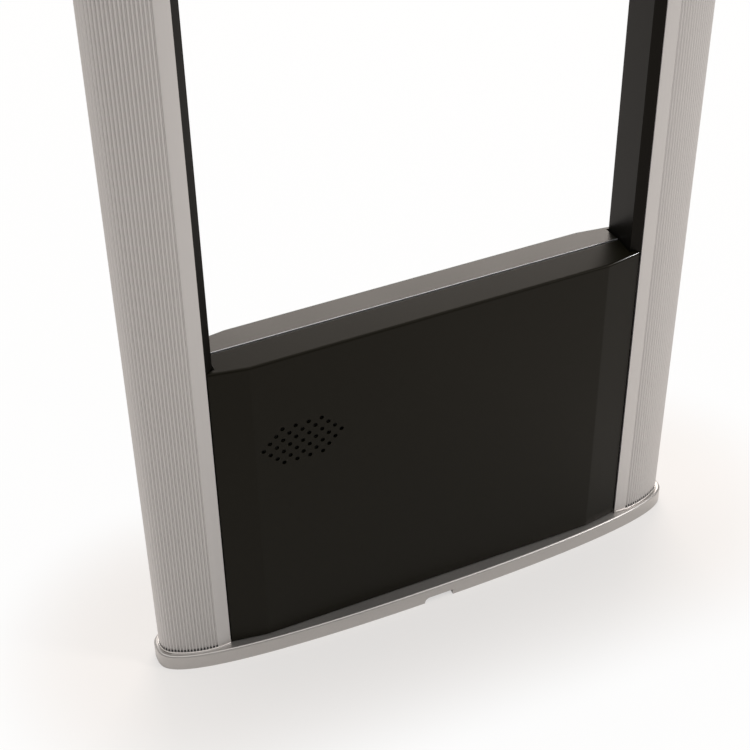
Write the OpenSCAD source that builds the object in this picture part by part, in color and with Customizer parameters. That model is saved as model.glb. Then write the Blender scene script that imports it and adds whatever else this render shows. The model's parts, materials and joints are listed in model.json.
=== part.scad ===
// Retail security gate: one free-standing antenna pedestal.
// Two ribbed aluminium posts on a cast base carry an electronics housing at the foot and
// a lamp head at the top. The antenna cable runs round the frame inside the black channels.
// Millimetres, +Z up, the origin on the floor at the centre of the base, the front towards -Y.

/* [Overall] */
// Height of the gate from the floor to the top of the cap
gate_h = 1560; // [1300:10:1900]
// Clear width between the inner edges of the two posts
opening_w = 300; // [280:2:380]

/* [Posts] */
// Width of a post, from its inner edge to its nose
post_w = 44.4; // [42:0.2:56]
// Depth of a post at its widest
post_d = 37.6; // [34:0.2:46]
// Radius of the nose of a post
post_nose_r = 12; // [9:0.5:14]
// Distance of the widest place from the inner edge
post_crest = 7; // [4:0.5:10]
// Wall of the extrusion
post_wall = 2.2; // [1.8:0.1:2.8]
// Smooth strip beside the inner edge, before the first rib
post_smooth = 9; // [6:0.5:14]
// Pitch of the ribs
rib_pitch = 2.1; // [1.6:0.1:3]
// Depth of the grooves between the ribs
rib_depth = 0.55; // [0.2:0.05:0.8]
// Bore of the screw ports inside the extrusion
port_bore = 5.1; // [4.6:0.1:5.6]

/* [Antenna channels] */
// Width of the channel crown that faces the opening
channel_w = 27.2; // [22:0.2:28]
// How far the crown stands out of the post
channel_out = 5.8; // [4:0.2:9]
// Depth of the channel legs inside the post
channel_in = 12; // [8:0.5:14]
// Wall of the channel crown
channel_wall = 2; // [1.5:0.1:2.5]

/* [Base and cap] */
// Thickness of the base casting and of the cap casting
base_t = 12; // [11:0.5:16]
// Depth of the base at its middle
base_d = 62; // [60:1:76]
// Margin of the base beyond the noses of the posts
base_margin = 3; // [3:0.5:8]
// Wall of the hollow castings
base_wall = 4; // [3:0.5:5]
// Thickness of the closed face of the castings
base_top_t = 5; // [4:0.5:6]
// Height of the plinth under each post
plinth_h = 1.5; // [0.5:0.1:3]
// Width of the cable notch in the front wall of the base
notch_w = 22; // [14:1:30]
// Height of the cable notch
notch_h = 4.4; // [3:0.1:5]
// Distance between the two anchor bolts
anchor_pitch = 236; // [200:2:240]
// Diameter of the anchor holes
anchor_d = 11; // [9:0.5:13]
// Bore of the cable grommet
grommet_bore = 12; // [8:0.5:16]

/* [Housing] */
// Height of the lower housing above the base, at its front edge
housing_h = 229.6; // [228:0.2:290]
// Height of the lamp head
head_h = 110; // [96:1:150]
// Depth of the housings
housing_d = 43.2; // [38:0.2:50]
// Length of the slanted ends of the covers
slant_w = 25; // [20:0.5:36]
// How far the slanted ends run back
slant_drop = 4; // [1:0.2:5]
// Rise of the top flanges from the front edge to the seam
ridge_rise = 2.2; // [0:0.1:5]
// Thickness of the cover sheet
sheet_t = 1.2; // [0.8:0.1:1.6]
// Diameter of the sound holes
sound_hole_d = 3; // [2:0.1:4]
// Pitch of the sound holes along a row
sound_pitch = 8.8; // [7:0.1:9.4]
// Pitch of the rows of sound holes
sound_row = 4.55; // [4:0.05:7]
// Height of the middle of the sound holes above the floor
sound_z = 174; // [165:1:190]

/* [Electronics] */
// Outer diameter of the speaker
speaker_d = 60; // [56:1:72]
// Height of the main circuit board
board_h = 100; // [96:1:104]
// Diameter of the volume knob
knob_d = 16; // [12:0.5:20]
// Travel of the test button
button_travel = 1.5; // [0.5:0.1:2]
// Travel of the selector levers
lever_travel = 1.6; // [1:0.1:1.8]
// Length of the lamp window
lens_w = 170; // [120:2:190]
// Height of the lamp window
lens_h = 16; // [10:1:22]
// Diameter of the antenna cable
loop_d = 6.4; // [5:0.2:7]

/* [Hidden] */
$fn = 48;
CLEAR = 0.3;      // gap between pieces that only lie beside each other
RUN = 0.06;       // radial gap of a piece that turns or slides in a bore
SCREW_GAP = 0.2;  // radial gap round a screw in a clearance hole
EPS = 0.5;        // overshoot of a cut

silver = [0.70, 0.69, 0.67];
alloy = [0.72, 0.71, 0.69];
black = [0.09, 0.085, 0.08];
zinc = [0.62, 0.63, 0.64];
dark_steel = [0.30, 0.30, 0.31];
board_green = [0.05, 0.28, 0.16];
nylon = [0.88, 0.87, 0.83];
rubber = [0.05, 0.05, 0.05];
lamp_red = [0.75, 0.05, 0.05];

// Places of the main frame
post_in_x = opening_w / 2;
post_out_x = post_in_x + post_w;
post_half_d = post_d / 2;
base_half_l = post_out_x + base_margin;
base_half_d = base_d / 2;
post_z0 = base_t + plinth_h;
post_z1 = gate_h - base_t - plinth_h;

// Outline of a post in its own plane: u runs out from the inner edge, v is the depth.
// A flank arc of large radius runs tangent into the nose arc.
nose_u = post_w - post_nose_r;
flank_r = (pow(nose_u - post_crest, 2) + pow(post_half_d, 2) - pow(post_nose_r, 2))
    / (2 * (post_half_d - post_nose_r));
flank_a0 = -asin(post_crest / flank_r);
flank_a1 = atan2(nose_u - post_crest, flank_r - post_half_d);
flank_len = flank_r * (flank_a1 - flank_a0) * PI / 180;
nose_len = post_nose_r * (90 - flank_a1) * PI / 180;
skin_len = flank_len + nose_len;
rib_count = floor((skin_len - post_smooth) / rib_pitch);
rib_fit = (skin_len - post_smooth) / rib_count;
RIB_STEPS = 6;
SMOOTH_STEPS = 5;
SKIN_STEPS = 30;

// Point on the skin of a post, s along it from the inner edge and dip below it
function arc_point(centre, r, a) = [centre[0] + r * sin(a), centre[1] + r * cos(a)];
function skin_point(s, dip) = s < flank_len
    ? arc_point([post_crest, post_half_d - flank_r], flank_r - dip, flank_a0 + s / flank_r * 180 / PI)
    : arc_point([nose_u, 0], post_nose_r - dip, flank_a1 + (s - flank_len) / post_nose_r * 180 / PI);
function closed_by_mirror(half) = concat(half,
    [for (i = [len(half) - 2 : -1 : 0]) [half[i][0], -half[i][1]]]);
function smooth_skin(dip, n) = closed_by_mirror([for (i = [0 : n]) skin_point(skin_len * i / n, dip)]);
function ribbed_skin() = closed_by_mirror(concat(
    [for (i = [0 : SMOOTH_STEPS - 1]) skin_point(post_smooth * i / SMOOTH_STEPS, 0)],
    [for (i = [0 : rib_count * RIB_STEPS])
        skin_point(post_smooth + i * rib_fit / RIB_STEPS, rib_depth / 2 * (1 - cos(360 * i / RIB_STEPS)))]));

// Screw ports of a post: one behind the nose and one on each flank
PORT_R = 4.4;
PORT_SINK = 1;
PORT_FLANK_IN = 24;
port_flank_u = post_w - PORT_FLANK_IN;
port_nose_u = post_w - post_wall - PORT_R + PORT_SINK;
port_flank_v = post_half_d - (flank_r - sqrt(pow(flank_r, 2) - pow(port_flank_u - post_crest, 2)))
    - post_wall - PORT_R + PORT_SINK;
PORTS = [[port_nose_u, 0], [port_flank_u, port_flank_v], [port_flank_u, -port_flank_v]];

// Bowed outline of the base and the cap
OVAL_X = 2.2;
OVAL_Y = 3;
OVAL_STEPS = 26;
function oval_quarter(l, h) = [for (i = [0 : OVAL_STEPS]) let (t = 90 * pow(i / OVAL_STEPS, 1.5))
    [l * pow(cos(t), 2 / OVAL_X), h * pow(sin(t), 2 / OVAL_Y)]];
function oval_half(l, h) = let (q = oval_quarter(l, h))
    concat(q, [for (i = [OVAL_STEPS - 1 : -1 : 0]) [-q[i][0], q[i][1]]]);
function oval(l, h) = let (half = oval_half(l, h), n = len(half))
    concat(half, [for (i = [n - 2 : -1 : 1]) [half[i][0], -half[i][1]]]);

// Places of the castings
SCREW_R = 2.5;
SCREW_HEAD_R = 4.2;
SCREW_HEAD_H = 4.8;
SCREW_KEY_R = 2.3;
SCREW_KEY_H = 2.4;
SCREW_BITE = 11;
BOSS_R = 6.6;
ANCHOR_BOSS_R = 13;
SCREW_SINK = 0.7;
PLINTH_OUT = 0.6;
counterbore = SCREW_HEAD_H + SCREW_SINK;
notch_x = 0.6;
NOTCH_FOOT = 0.2;
notch_r = notch_h - NOTCH_FOOT;
grommet_y = -7;
GROMMET_NECK = 3;
GROMMET_LIP = 2.5;
GROMMET_LIP_T = 1.5;
grommet_hole_r = grommet_bore / 2 + GROMMET_NECK;

// Places of the covers
COVER_GAP = 0.8;   // gap between a cover and a casting
SIDE_GAP = 1;      // gap between a cover end and a post
SEAM_GAP = 0.6;    // gap along the seam between the two flanges
cover_half_d = housing_d / 2;
cover_end_x = post_in_x - SIDE_GAP;
cover_corner_x = cover_end_x - slant_w;
slant_a = atan2(slant_drop, slant_w);
cover_in_y = cover_half_d - sheet_t;
housing_z0 = base_t + COVER_GAP;
housing_z1 = base_t + housing_h;
head_z1 = gate_h - base_t - COVER_GAP;
head_z0 = gate_h - base_t - head_h;
channel_x = post_in_x - channel_out;

// Sound holes, rows of a hexagon, with the number of the last hole in each row
SOUND_ROWS = 3;
SOUND_ROW_MAX = 7;
function sound_last(row) = SOUND_ROW_MAX - 1 - abs(row);

// Places of the chassis, measured from the rear cover forwards
CHASSIS_T = 1.5;
REAR_GAP = 4.7;
chassis_y1 = cover_in_y - REAR_GAP;
chassis_y0 = chassis_y1 - CHASSIS_T;
CHASSIS_IN = 8.2;
CHASSIS_DOWN = 7;
chassis_half_w = channel_x - CHASSIS_IN;
chassis_z1 = housing_z1 - CHASSIS_DOWN;
FLANGE_BACK = 7.2;     // front edge of the side flanges behind the front cover
flange_y0 = -cover_in_y + FLANGE_BACK;
TAB_LEN = 30.5;
TAB_HALF_H = 9;
CLIP_IN = 24;
CLIP_UP = 28;
CLIP_DOWN = 25;
clip_x = chassis_half_w - CLIP_IN;
CLIP_Z = [base_t + CLIP_UP, housing_z1 - CLIP_DOWN];
CLIP_R = 4;
CLIP_LIP_R = 5.5;
CLIP_LIP_T = 1.2;
STUD_R = 2.5;
STUD_FOOT_R = 5;
STUD_FOOT_T = 1.5;
REAR_SCREW_IN = 36;
REAR_SCREW_UP = 28;
rear_screw_x = chassis_half_w - REAR_SCREW_IN;
REAR_SCREW_Z = [base_t + REAR_SCREW_UP, housing_z1 - REAR_SCREW_UP];
REAR_SPACER_R = 4.5;
M4_R = 2;
M4_HEAD_R = 3.6;
M4_HEAD_H = 2.2;
M3_R = 1.5;
M3_HEAD_R = 2.7;
M3_HEAD_H = 1.6;
FOOT_X = 50;
FOOT_W = 40;
FOOT_SCREW_Y = 3;
FOOT_REACH = 7;
FOOT_BITE = 5;
FLANGE_UP = 8;

// Speaker, left of the main board
speaker_r = speaker_d / 2;
SPEAKER_SIDE = 14;
SPEAKER_BACK = 2.2;
speaker_x = SPEAKER_SIDE + speaker_r - chassis_half_w;
SPEAKER_RIM = 7.5;
speaker_y0 = -cover_in_y + SPEAKER_BACK;
SPEAKER_RIM_T = 1.2;
SPEAKER_DEEP = 11.8;
MAGNET_H = 8;
MAGNET_R = 15;
CONE_T = 0.6;
SPEAKER_POLE_R = 9;
SPEAKER_SCREW_IN = 3;
SPEAKER_SCREW_L = 6;
SPACER_R = 2.5;
CONE_REST = 0.2;
CONE_DEEP = 7;
CONE_CAP = 2.5;
CONE_CORE_R = 8.4;
CONE_FORMER = SPEAKER_DEEP;
speaker_hole_r = (speaker_r - SPEAKER_SCREW_IN) * sqrt(0.5);
SPEAKER_HOLES = [for (x = [-1, 1], y = [-1, 1]) [x * speaker_hole_r, y * speaker_hole_r]];

// Main board and what stands on it, each place measured from the board's own corners
BOARD_T = 1.6;
STANDOFF_L = 8;
STANDOFF_R = 3;
board_y1 = chassis_y0 - STANDOFF_L;
board_y0 = board_y1 - BOARD_T;
BOARD_LEFT = 22;
BOARD_RIGHT = 36;
BOARD_DOWN = 31;
board_x0 = speaker_x + speaker_r + BOARD_LEFT;
board_x1 = chassis_half_w - BOARD_RIGHT;
board_z1 = housing_z1 - BOARD_DOWN;
board_z0 = board_z1 - board_h;
BOARD_EDGE = 5;
BOARD_HOLES = [[board_x0 + BOARD_EDGE, board_z0 + BOARD_EDGE], [board_x1 - BOARD_EDGE, board_z0 + BOARD_EDGE],
    [board_x0 + BOARD_EDGE, board_z1 - BOARD_EDGE], [board_x1 - BOARD_EDGE, board_z1 - BOARD_EDGE]];
TERMINAL_H = 11;
TERMINAL_D = 11;
loop_terminal_x = (board_x0 + board_x1) / 2 - 24;
LOOP_TERMINAL_W = 26;
lamp_terminal_x = board_x1 - 18;
SIDE_TERMINAL_W = 12;
speaker_terminal = [board_x0 + 9, board_z0 + 56];
power_terminal_x = board_x0 + 40;
terminal_z0 = board_z1 - 9 - TERMINAL_H;
power_terminal_z = board_z0 + 4;
TERMINAL_PITCH = 6;
TERMINAL_SCREW_R = 1.8;
CHIP_T = 2;
CHIPS = [[board_x0 + 30, board_z0 + 48, 14, 14], [board_x0 + 56, board_z0 + 40, 18, 7.5],
    [board_x0 + 78, board_z0 + 40, 12, 12]];
CAPACITORS = [[board_x0 + 20, board_z0 + 13, 5, 16], [board_x0 + 20, board_z0 + 26, 5, 16],
    [board_x0 + 33, board_z0 + 29, 4, 12]];
COIL_W = 10;
COIL_H = 14;
COIL_CORE_R = 2.5;
COILS = [for (i = [0 : 2]) [board_x0 + 50 + 13 * i, board_z0 + 62]];
SINK_W = 28;
SINK_H = 32;
SINK_D = 17;
SINK_BASE = 3;
SINK_FINS = 7;
SINK_FIN_T = 1.2;
sink_x0 = board_x1 - 36;
sink_z0 = board_z0 + 40;
status_at = [board_x0 + 70, board_z0 + 78];
STATUS_COUNT = 4;
STATUS_PITCH = 6;
STATUS_R = 1.5;
STATUS_H = 4;

// Controls on the main board
dip_at = [board_x0 + 66, board_z0 + 20];
DIP_W = 12;
DIP_H = 6.4;
DIP_D = 4;
DIP_PITCH = 2.54;
LEVER_COUNT = 4;
LEVER_W = 1.3;
LEVER_H = 1.4;
LEVER_D = 2.6;
LEVER_SINK = 1.4;
LEVER_GAP = 0.1;
button_at = [board_x0 + 83, board_z0 + 20];
BUTTON_W = 12;
BUTTON_D = 7;
PLUNGER_R = 3;
PLUNGER_OUT = 4.5;
PLUNGER_IN = 4;
volume_at = [board_x1 - 18, board_z0 + 22];
POT_W = 16;
POT_D = 8;
POT_BUSH_R = 4.5;
POT_BUSH_L = 3.5;
SHAFT_R = 3;
SHAFT_IN = 8;
KNOB_H = 8.5;
POINTER_W = 1.2;
trimmer_at = [board_x0 + 51, board_z0 + 20];
TRIMMER_W = 9.5;
TRIMMER_D = 5;
ROTOR_R = 3;
ROTOR_D = 2.4;
ROTOR_SLOT = 0.9;

// Power supply, switch and fuse under the board
PSU_SIDE = 34;
PSU_UP = 26;
psu_x0 = PSU_SIDE - chassis_half_w;
PSU_W = 104;
PSU_H = 56;
PSU_D = 26;
psu_z0 = base_t + PSU_UP;
PSU_WALL = 1.5;
PSU_BACK = 6.5;
PSU_CORE_IN = 58;
PSU_CORE_W = 30;
PSU_CORE_FRONT = 5;
PSU_CORE_UP = 12;
PSU_VENTS = 15;
PSU_VENT_IN = 10;
PSU_VENT_PITCH = 6;
PSU_VENT_W = 2;
PSU_SCREW_IN = 12;
PSU_SCREWS = [for (x = [psu_x0 + PSU_SCREW_IN, psu_x0 + PSU_W - PSU_SCREW_IN],
    z = [psu_z0 + PSU_SCREW_IN, psu_z0 + PSU_H - PSU_SCREW_IN]) [x, z]];
TRAY_SCREW_BITE = 5;
BRACKET_W = 72;
BRACKET_H = 44;
BRACKET_D = 20;
BRACKET_SIDE = 34;
BRACKET_UP = 34;
BRACKET_T = 1.2;
bracket_x0 = chassis_half_w - BRACKET_SIDE - BRACKET_W;
bracket_z0 = base_t + BRACKET_UP;
bracket_y0 = chassis_y0 - BRACKET_D;
BRACKET_FOOT = 12;
BRACKET_FOOT_T = 5.6;
BRACKET_SCREWS = [for (x = [bracket_x0 + BRACKET_FOOT / 2, bracket_x0 + BRACKET_W - BRACKET_FOOT / 2])
    [x, bracket_z0 + BRACKET_H / 2]];
TRAY_SCREWS = concat(PSU_SCREWS, BRACKET_SCREWS);
ROCKER_IN = 20;
rocker_at = [bracket_x0 + ROCKER_IN, bracket_z0 + BRACKET_H / 2];
ROCKER_W = 13;
ROCKER_HALF_H = 7.5;
ROCKER_A = 10;
ROCKER_FRAME_W = 18;
ROCKER_FRAME_H = 24;
ROCKER_BEZEL = 2;
ROCKER_DEEP = 12;
ROCKER_PIVOT_OUT = 0.5;
rocker_pivot_y = bracket_y0 - ROCKER_PIVOT_OUT;
ROCKER_PIN_R = 1.2;
ROCKER_PIN_L = 0.8;
ROCKER_NOSE = 5;
ROCKER_WAIST = 3.2;
ROCKER_HEEL = 2;
ROCKER_HEEL_H = 6;
ROCKER_POCKET = 5;
ROCKER_BODY_IN = 1;
rocker_body_w = ROCKER_FRAME_W - 2 * ROCKER_BODY_IN;
rocker_body_h = ROCKER_FRAME_H - 2 * ROCKER_BODY_IN;
rocker_sweep = ROCKER_HALF_H + ROCKER_NOSE * sin(ROCKER_A) + CLEAR;
FUSE_IN = 52;
fuse_at = [bracket_x0 + FUSE_IN, bracket_z0 + BRACKET_H / 2];
FUSE_R = 6;
FUSE_LIP_R = 8;
FUSE_L = 15;
FUSE_CAP_R = 6.5;
FUSE_CAP_H = 6;
FUSE_PLUG_R = 3.2;
FUSE_PLUG_L = 9;
FUSE_LIP_T = 1.5;
FUSE_SLOT = 1.6;

// Cables. Route points are chosen by hand where they lie free of the frame's own lines.
loop_r = loop_d / 2;
loop_y = -3;
LOOP_DOWN = 17;
LOOP_UP = 24;
LOOP_IN = 6;
loop_z0 = housing_z1 - LOOP_DOWN;
loop_z1 = head_z0 + LOOP_UP;
loop_x = post_in_x + LOOP_IN;
LOOP_BEND = 16;
LOOP_HOLE = 1.6;
LOOP_APART = 5.6;
loop_gap = loop_d + LOOP_APART;
LEAD_R = 1.6;
LEAD_BEND = 6;
lead_y = 8;
LEAD_HOLE = 1.2;
CABLE_SIDES = 8;

// Lamp head
HEAD_SHEET_Y = 7;
HEAD_SHEET = 1.5;
HEAD_SHEET_UP = 10;
HEAD_SIDE = 22;
LENS_UP = 6;
head_half_w = channel_x - HEAD_SIDE;
lens_z = (head_z0 + head_z1) / 2 + LENS_UP;
LENS_PROUD = 1.6;
LENS_LIP = 3;
LENS_LIP_T = 1.5;
LAMP_BOARD_IN = 2;
lamp_board_l = lens_w - 2 * LAMP_BOARD_IN;
LAMP_BOARD_H = 18;
LAMP_BOARD_T = 1.6;
LAMP_COUNT = 9;
LED_R = 2.5;
LED_H = 5;
HEAD_SCREW_IN = 16;
HEAD_FOOT_IN = 30;
head_screw_x = head_half_w - HEAD_SCREW_IN;
HEAD_SPACER_R = 4;
HEAD_BITE = 8;
HEAD_FOOT = 18;
head_foot_x = head_half_w - HEAD_FOOT_IN;
LAMP_STUD_IN = 3;
LAMP_STUD_R = 2;
LAMP_WINDOW_IN = 6;
lamp_window = lamp_board_l / 2 - LAMP_WINDOW_IN;
POCKET_WEB = 12;
POCKET_IN = 3;
pocket_half_d = cover_in_y - POCKET_IN;
POCKETS = [[-head_foot_x + POCKET_WEB, head_foot_x - POCKET_WEB],
    [head_foot_x + POCKET_WEB, channel_x - POCKET_WEB], [POCKET_WEB - channel_x, -head_foot_x - POCKET_WEB]];

// Shared shapes
module along_y(at, y0, y1, r) {
    translate([at[0], y0, at[1]]) rotate([-90, 0, 0]) cylinder(h = y1 - y0, r = r);
}

// Pan-head screw driven towards -Y, its head on the plane y
module pan_screw(at, y, shank) {
    along_y(at, y, y + M4_HEAD_H, M4_HEAD_R);
    along_y(at, y - shank, y + M4_HEAD_H, M4_R);
}

module block(x0, x1, y0, y1, z0, z1) {
    translate([x0, y0, z0]) cube([x1 - x0, y1 - y0, z1 - z0]);
}

module on_both_sides() {
    children();
    mirror([1, 0, 0]) children();
}

module post_place() {
    translate([post_in_x, 0, 0]) children();
}

// A tube through points, its corners eased by curves of the given reach
function unit(v) = v / norm(v);
function bend_point(a, b, c, t) = (1 - t) * (1 - t) * a + 2 * t * (1 - t) * b + t * t * c;
function eased(p, reach) = concat([p[0]],
    [for (i = [1 : len(p) - 2], k = [0 : 5])
        bend_point(p[i] + reach * unit(p[i - 1] - p[i]), p[i], p[i] + reach * unit(p[i + 1] - p[i]), k / 5)],
    [p[len(p) - 1]]);
function tangent(p, i) = unit(p[min(i + 1, len(p) - 1)] - p[max(i - 1, 0)]);
AIM = unit([0.31, 0.80, 0.52]);
function ring(p, i, r) = let (t = tangent(p, i), a = unit(cross(t, AIM)), b = cross(t, a))
    [for (k = [0 : CABLE_SIDES - 1]) let (w = 360 * k / CABLE_SIDES) p[i] + r * (cos(w) * a + sin(w) * b)];

module tube(p, r) {
    n = len(p);
    rings = [for (i = [0 : n - 1]) each ring(p, i, r)];
    sides = [for (i = [0 : n - 2], k = [0 : CABLE_SIDES - 1])
        let (a = i * CABLE_SIDES + k, b = i * CABLE_SIDES + (k + 1) % CABLE_SIDES)
        each [[a, b, b + CABLE_SIDES], [a, b + CABLE_SIDES, a + CABLE_SIDES]]];
    caps = [for (k = [1 : CABLE_SIDES - 2])
        each [[0, k + 1, k], let (m = (n - 1) * CABLE_SIDES) [m, m + k, m + k + 1]]];
    polyhedron(points = rings, faces = concat(sides, caps));
}

// Hollow casting with a closed face at z = base_t: bosses, plinths and screw holes for the posts
module casting() {
    difference() {
        union() {
            difference() {
                linear_extrude(base_t) polygon(oval(base_half_l, base_half_d));
                translate([0, 0, -EPS]) linear_extrude(base_t - base_top_t + EPS)
                    polygon(oval(base_half_l - base_wall, base_half_d - base_wall));
            }
            on_both_sides() post_place() {
                translate([0, 0, base_t - EPS]) linear_extrude(plinth_h + EPS)
                    polygon(smooth_skin(-PLINTH_OUT, SKIN_STEPS));
                for (p = PORTS) translate(p) cylinder(h = base_t, r = BOSS_R);
            }
            children();
        }
        post_screw_holes();
    }
}

module post_screw_holes() {
    on_both_sides() post_place() for (p = PORTS) translate(p) {
        translate([0, 0, -EPS]) cylinder(h = counterbore + EPS, r = SCREW_HEAD_R + SCREW_GAP);
        cylinder(h = post_z0 + EPS, r = SCREW_R + SCREW_GAP);
    }
}

module casting_screws() {
    for (p = PORTS) translate(p) {
        translate([0, 0, counterbore - SCREW_HEAD_H]) difference() {
            cylinder(h = SCREW_HEAD_H, r = SCREW_HEAD_R);
            translate([0, 0, -EPS]) cylinder(h = SCREW_KEY_H + EPS, r = SCREW_KEY_R, $fn = 6);
        }
        translate([0, 0, counterbore - EPS])
            cylinder(h = post_z0 + SCREW_BITE - counterbore + EPS, r = SCREW_R);
    }
}

module base_casting() {
    color(silver) difference() {
        casting() {
            on_both_sides() translate([anchor_pitch / 2, 0, 0]) cylinder(h = base_t, r = ANCHOR_BOSS_R);
            on_both_sides() translate([FOOT_X, FOOT_SCREW_Y, 0]) cylinder(h = base_t, r = BOSS_R);
        }
        on_both_sides() translate([anchor_pitch / 2, 0, -EPS])
            cylinder(h = base_t + 2 * EPS, r = anchor_d / 2);
        on_both_sides() translate([FOOT_X, FOOT_SCREW_Y, base_t / 2]) cylinder(h = base_t, r = M4_R + RUN);
        translate([0, grommet_y, 0]) cylinder(h = base_t + EPS, r = grommet_hole_r);
        cable_notch();
    }
}

module cable_notch() {
    translate([notch_x - notch_w / 2, -base_half_d + base_wall + EPS, 0]) rotate([90, 0, 0])
        linear_extrude(base_wall + 2 * EPS) union() {
            translate([notch_r, -EPS]) square([notch_w - notch_r, notch_h + EPS]);
            translate([0, -EPS]) square([notch_w, NOTCH_FOOT + EPS]);
            translate([notch_r, NOTCH_FOOT]) circle(r = notch_r);
        }
}

module top_cap() {
    color(silver) translate([0, 0, gate_h]) mirror([0, 0, 1]) difference() {
        union() {
            linear_extrude(base_t) polygon(oval(base_half_l, base_half_d));
            on_both_sides() post_place() translate([0, 0, base_t - EPS]) linear_extrude(plinth_h + EPS)
                polygon(smooth_skin(-PLINTH_OUT, SKIN_STEPS));
        }
        for (x = POCKETS) block(x[0], x[1], -pocket_half_d, pocket_half_d, base_top_t, base_t + EPS);
        post_screw_holes();
        on_both_sides() translate([head_foot_x, 0, base_top_t]) cylinder(h = base_t, r = M4_R + RUN);
    }
}

module base_screws() {
    color(dark_steel) on_both_sides() post_place() casting_screws();
}

module cap_screws() {
    color(dark_steel) translate([0, 0, gate_h]) mirror([0, 0, 1]) on_both_sides() post_place()
        casting_screws();
}

module cable_grommet() {
    lip_r = grommet_hole_r + GROMMET_LIP;
    low = base_t - base_top_t;
    color(rubber) translate([0, grommet_y, 0]) rotate_extrude() polygon([
        [grommet_bore / 2, low - GROMMET_LIP_T], [lip_r, low - GROMMET_LIP_T], [lip_r, low],
        [grommet_hole_r - RUN, low], [grommet_hole_r - RUN, base_t], [lip_r, base_t],
        [lip_r, base_t + GROMMET_LIP_T], [grommet_bore / 2, base_t + GROMMET_LIP_T]]);
}

// Posts and the antenna channels in their open sides
module post_section() {
    mouth_v = skin_point(0, post_wall)[1];
    difference() {
        polygon(ribbed_skin());
        difference() {
            polygon(concat([[-EPS, mouth_v]], smooth_skin(post_wall, SKIN_STEPS), [[-EPS, -mouth_v]]));
            for (p = PORTS) translate(p) circle(r = PORT_R);
        }
        for (p = PORTS) translate(p) circle(r = port_bore / 2);
    }
}

module right_post() {
    color(alloy) post_place() translate([0, 0, post_z0]) linear_extrude(post_z1 - post_z0) post_section();
}

module left_post() {
    mirror([1, 0, 0]) right_post();
}

module channel_section() {
    crown = channel_w / 2;
    hollow = crown - channel_wall;
    leg = skin_point(0, post_wall)[1] - CLEAR;
    polygon([[-channel_out, -crown], [-channel_out, crown], [CLEAR, crown], [CLEAR, leg], [channel_in, leg],
        [channel_in, hollow], [channel_wall - channel_out, hollow], [channel_wall - channel_out, -hollow],
        [channel_in, -hollow], [channel_in, -leg], [CLEAR, -leg], [CLEAR, -crown]]);
}

// Holes for the antenna cable and the lamp lead through an upright wall at x
module cable_holes(x, wall, z) {
    for (hole = [[loop_y, loop_r + LOOP_HOLE], [lead_y, LEAD_R + LEAD_HOLE]])
        translate([x - EPS, hole[0], z]) rotate([0, 90, 0]) cylinder(h = wall + 2 * EPS, r = hole[1]);
}

module right_channel() {
    color(black) difference() {
        post_place() translate([0, 0, post_z0]) linear_extrude(post_z1 - post_z0) channel_section();
        for (z = [loop_z0, loop_z1]) cable_holes(channel_x, channel_wall, z);
    }
}

module left_channel() {
    mirror([1, 0, 0]) right_channel();
}

// Front cover of a housing: a folded sheet with slanted ends, and a flange that rises to the seam
module cover_sheet(z0, z1) {
    end_y = cover_half_d - slant_drop;
    end_in_y = end_y - sheet_t / cos(slant_a);
    corner_in_x = cover_corner_x - sheet_t * tan(slant_a / 2);
    notch_in_x = channel_x - SIDE_GAP;
    notch_in_y = channel_w / 2 + SIDE_GAP;
    translate([0, 0, z0]) linear_extrude(z1 - z0) polygon([
        [-cover_end_x, -end_y], [-cover_corner_x, -cover_half_d], [cover_corner_x, -cover_half_d],
        [cover_end_x, -end_y], [cover_end_x, -end_in_y], [corner_in_x, -cover_in_y],
        [-corner_in_x, -cover_in_y], [-cover_end_x, -end_in_y]]);
    intersection() {
        translate([0, 0, z1 - 2 * sheet_t]) linear_extrude(4 * sheet_t + ridge_rise) polygon([
            [-cover_end_x, -end_y], [-cover_corner_x, -cover_half_d], [cover_corner_x, -cover_half_d],
            [cover_end_x, -end_y], [cover_end_x, -notch_in_y], [notch_in_x, -notch_in_y],
            [notch_in_x, -SEAM_GAP / 2], [-notch_in_x, -SEAM_GAP / 2], [-notch_in_x, -notch_in_y],
            [-cover_end_x, -notch_in_y]]);
        translate([-cover_end_x - EPS, 0, 0]) rotate([90, 0, 90]) linear_extrude(2 * (cover_end_x + EPS))
            polygon([[-cover_half_d, z1 - sheet_t], [0, z1 + ridge_rise - sheet_t], [0, z1 + ridge_rise],
                [-cover_half_d, z1]]);
    }
}

module front_cover() {
    color(black) difference() {
        cover_sheet(housing_z0, housing_z1);
        for (row = [-SOUND_ROWS : SOUND_ROWS], i = [0 : sound_last(row)])
            along_y([speaker_x + (i - sound_last(row) / 2) * sound_pitch, sound_z + row * sound_row],
                -cover_half_d - EPS, -cover_in_y + EPS, sound_hole_d / 2);
    }
}

module rear_cover() {
    color(black) difference() {
        mirror([0, 1, 0]) cover_sheet(housing_z0, housing_z1);
        on_both_sides() for (z = REAR_SCREW_Z)
            along_y([rear_screw_x, z], cover_in_y - EPS, cover_half_d + EPS, M4_R + SCREW_GAP);
    }
}

module rear_spacers() {
    color(zinc) on_both_sides() for (z = REAR_SCREW_Z) difference() {
        along_y([rear_screw_x, z], chassis_y1, cover_in_y, REAR_SPACER_R);
        along_y([rear_screw_x, z], chassis_y1 - EPS, cover_in_y + EPS, M4_R + RUN);
    }
}

module rear_cover_screws() {
    color(dark_steel) on_both_sides() for (z = REAR_SCREW_Z)
        pan_screw([rear_screw_x, z], cover_half_d, cover_half_d - chassis_y0 - CLEAR);
}

module cover_studs() {
    color(zinc) on_both_sides() for (z = CLIP_Z) {
        along_y([clip_x, z], -cover_in_y, -cover_in_y + STUD_FOOT_T, STUD_FOOT_R);
        along_y([clip_x, z], -cover_in_y, flange_y0 + CHASSIS_T + CLIP_LIP_T, STUD_R);
    }
}

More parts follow.
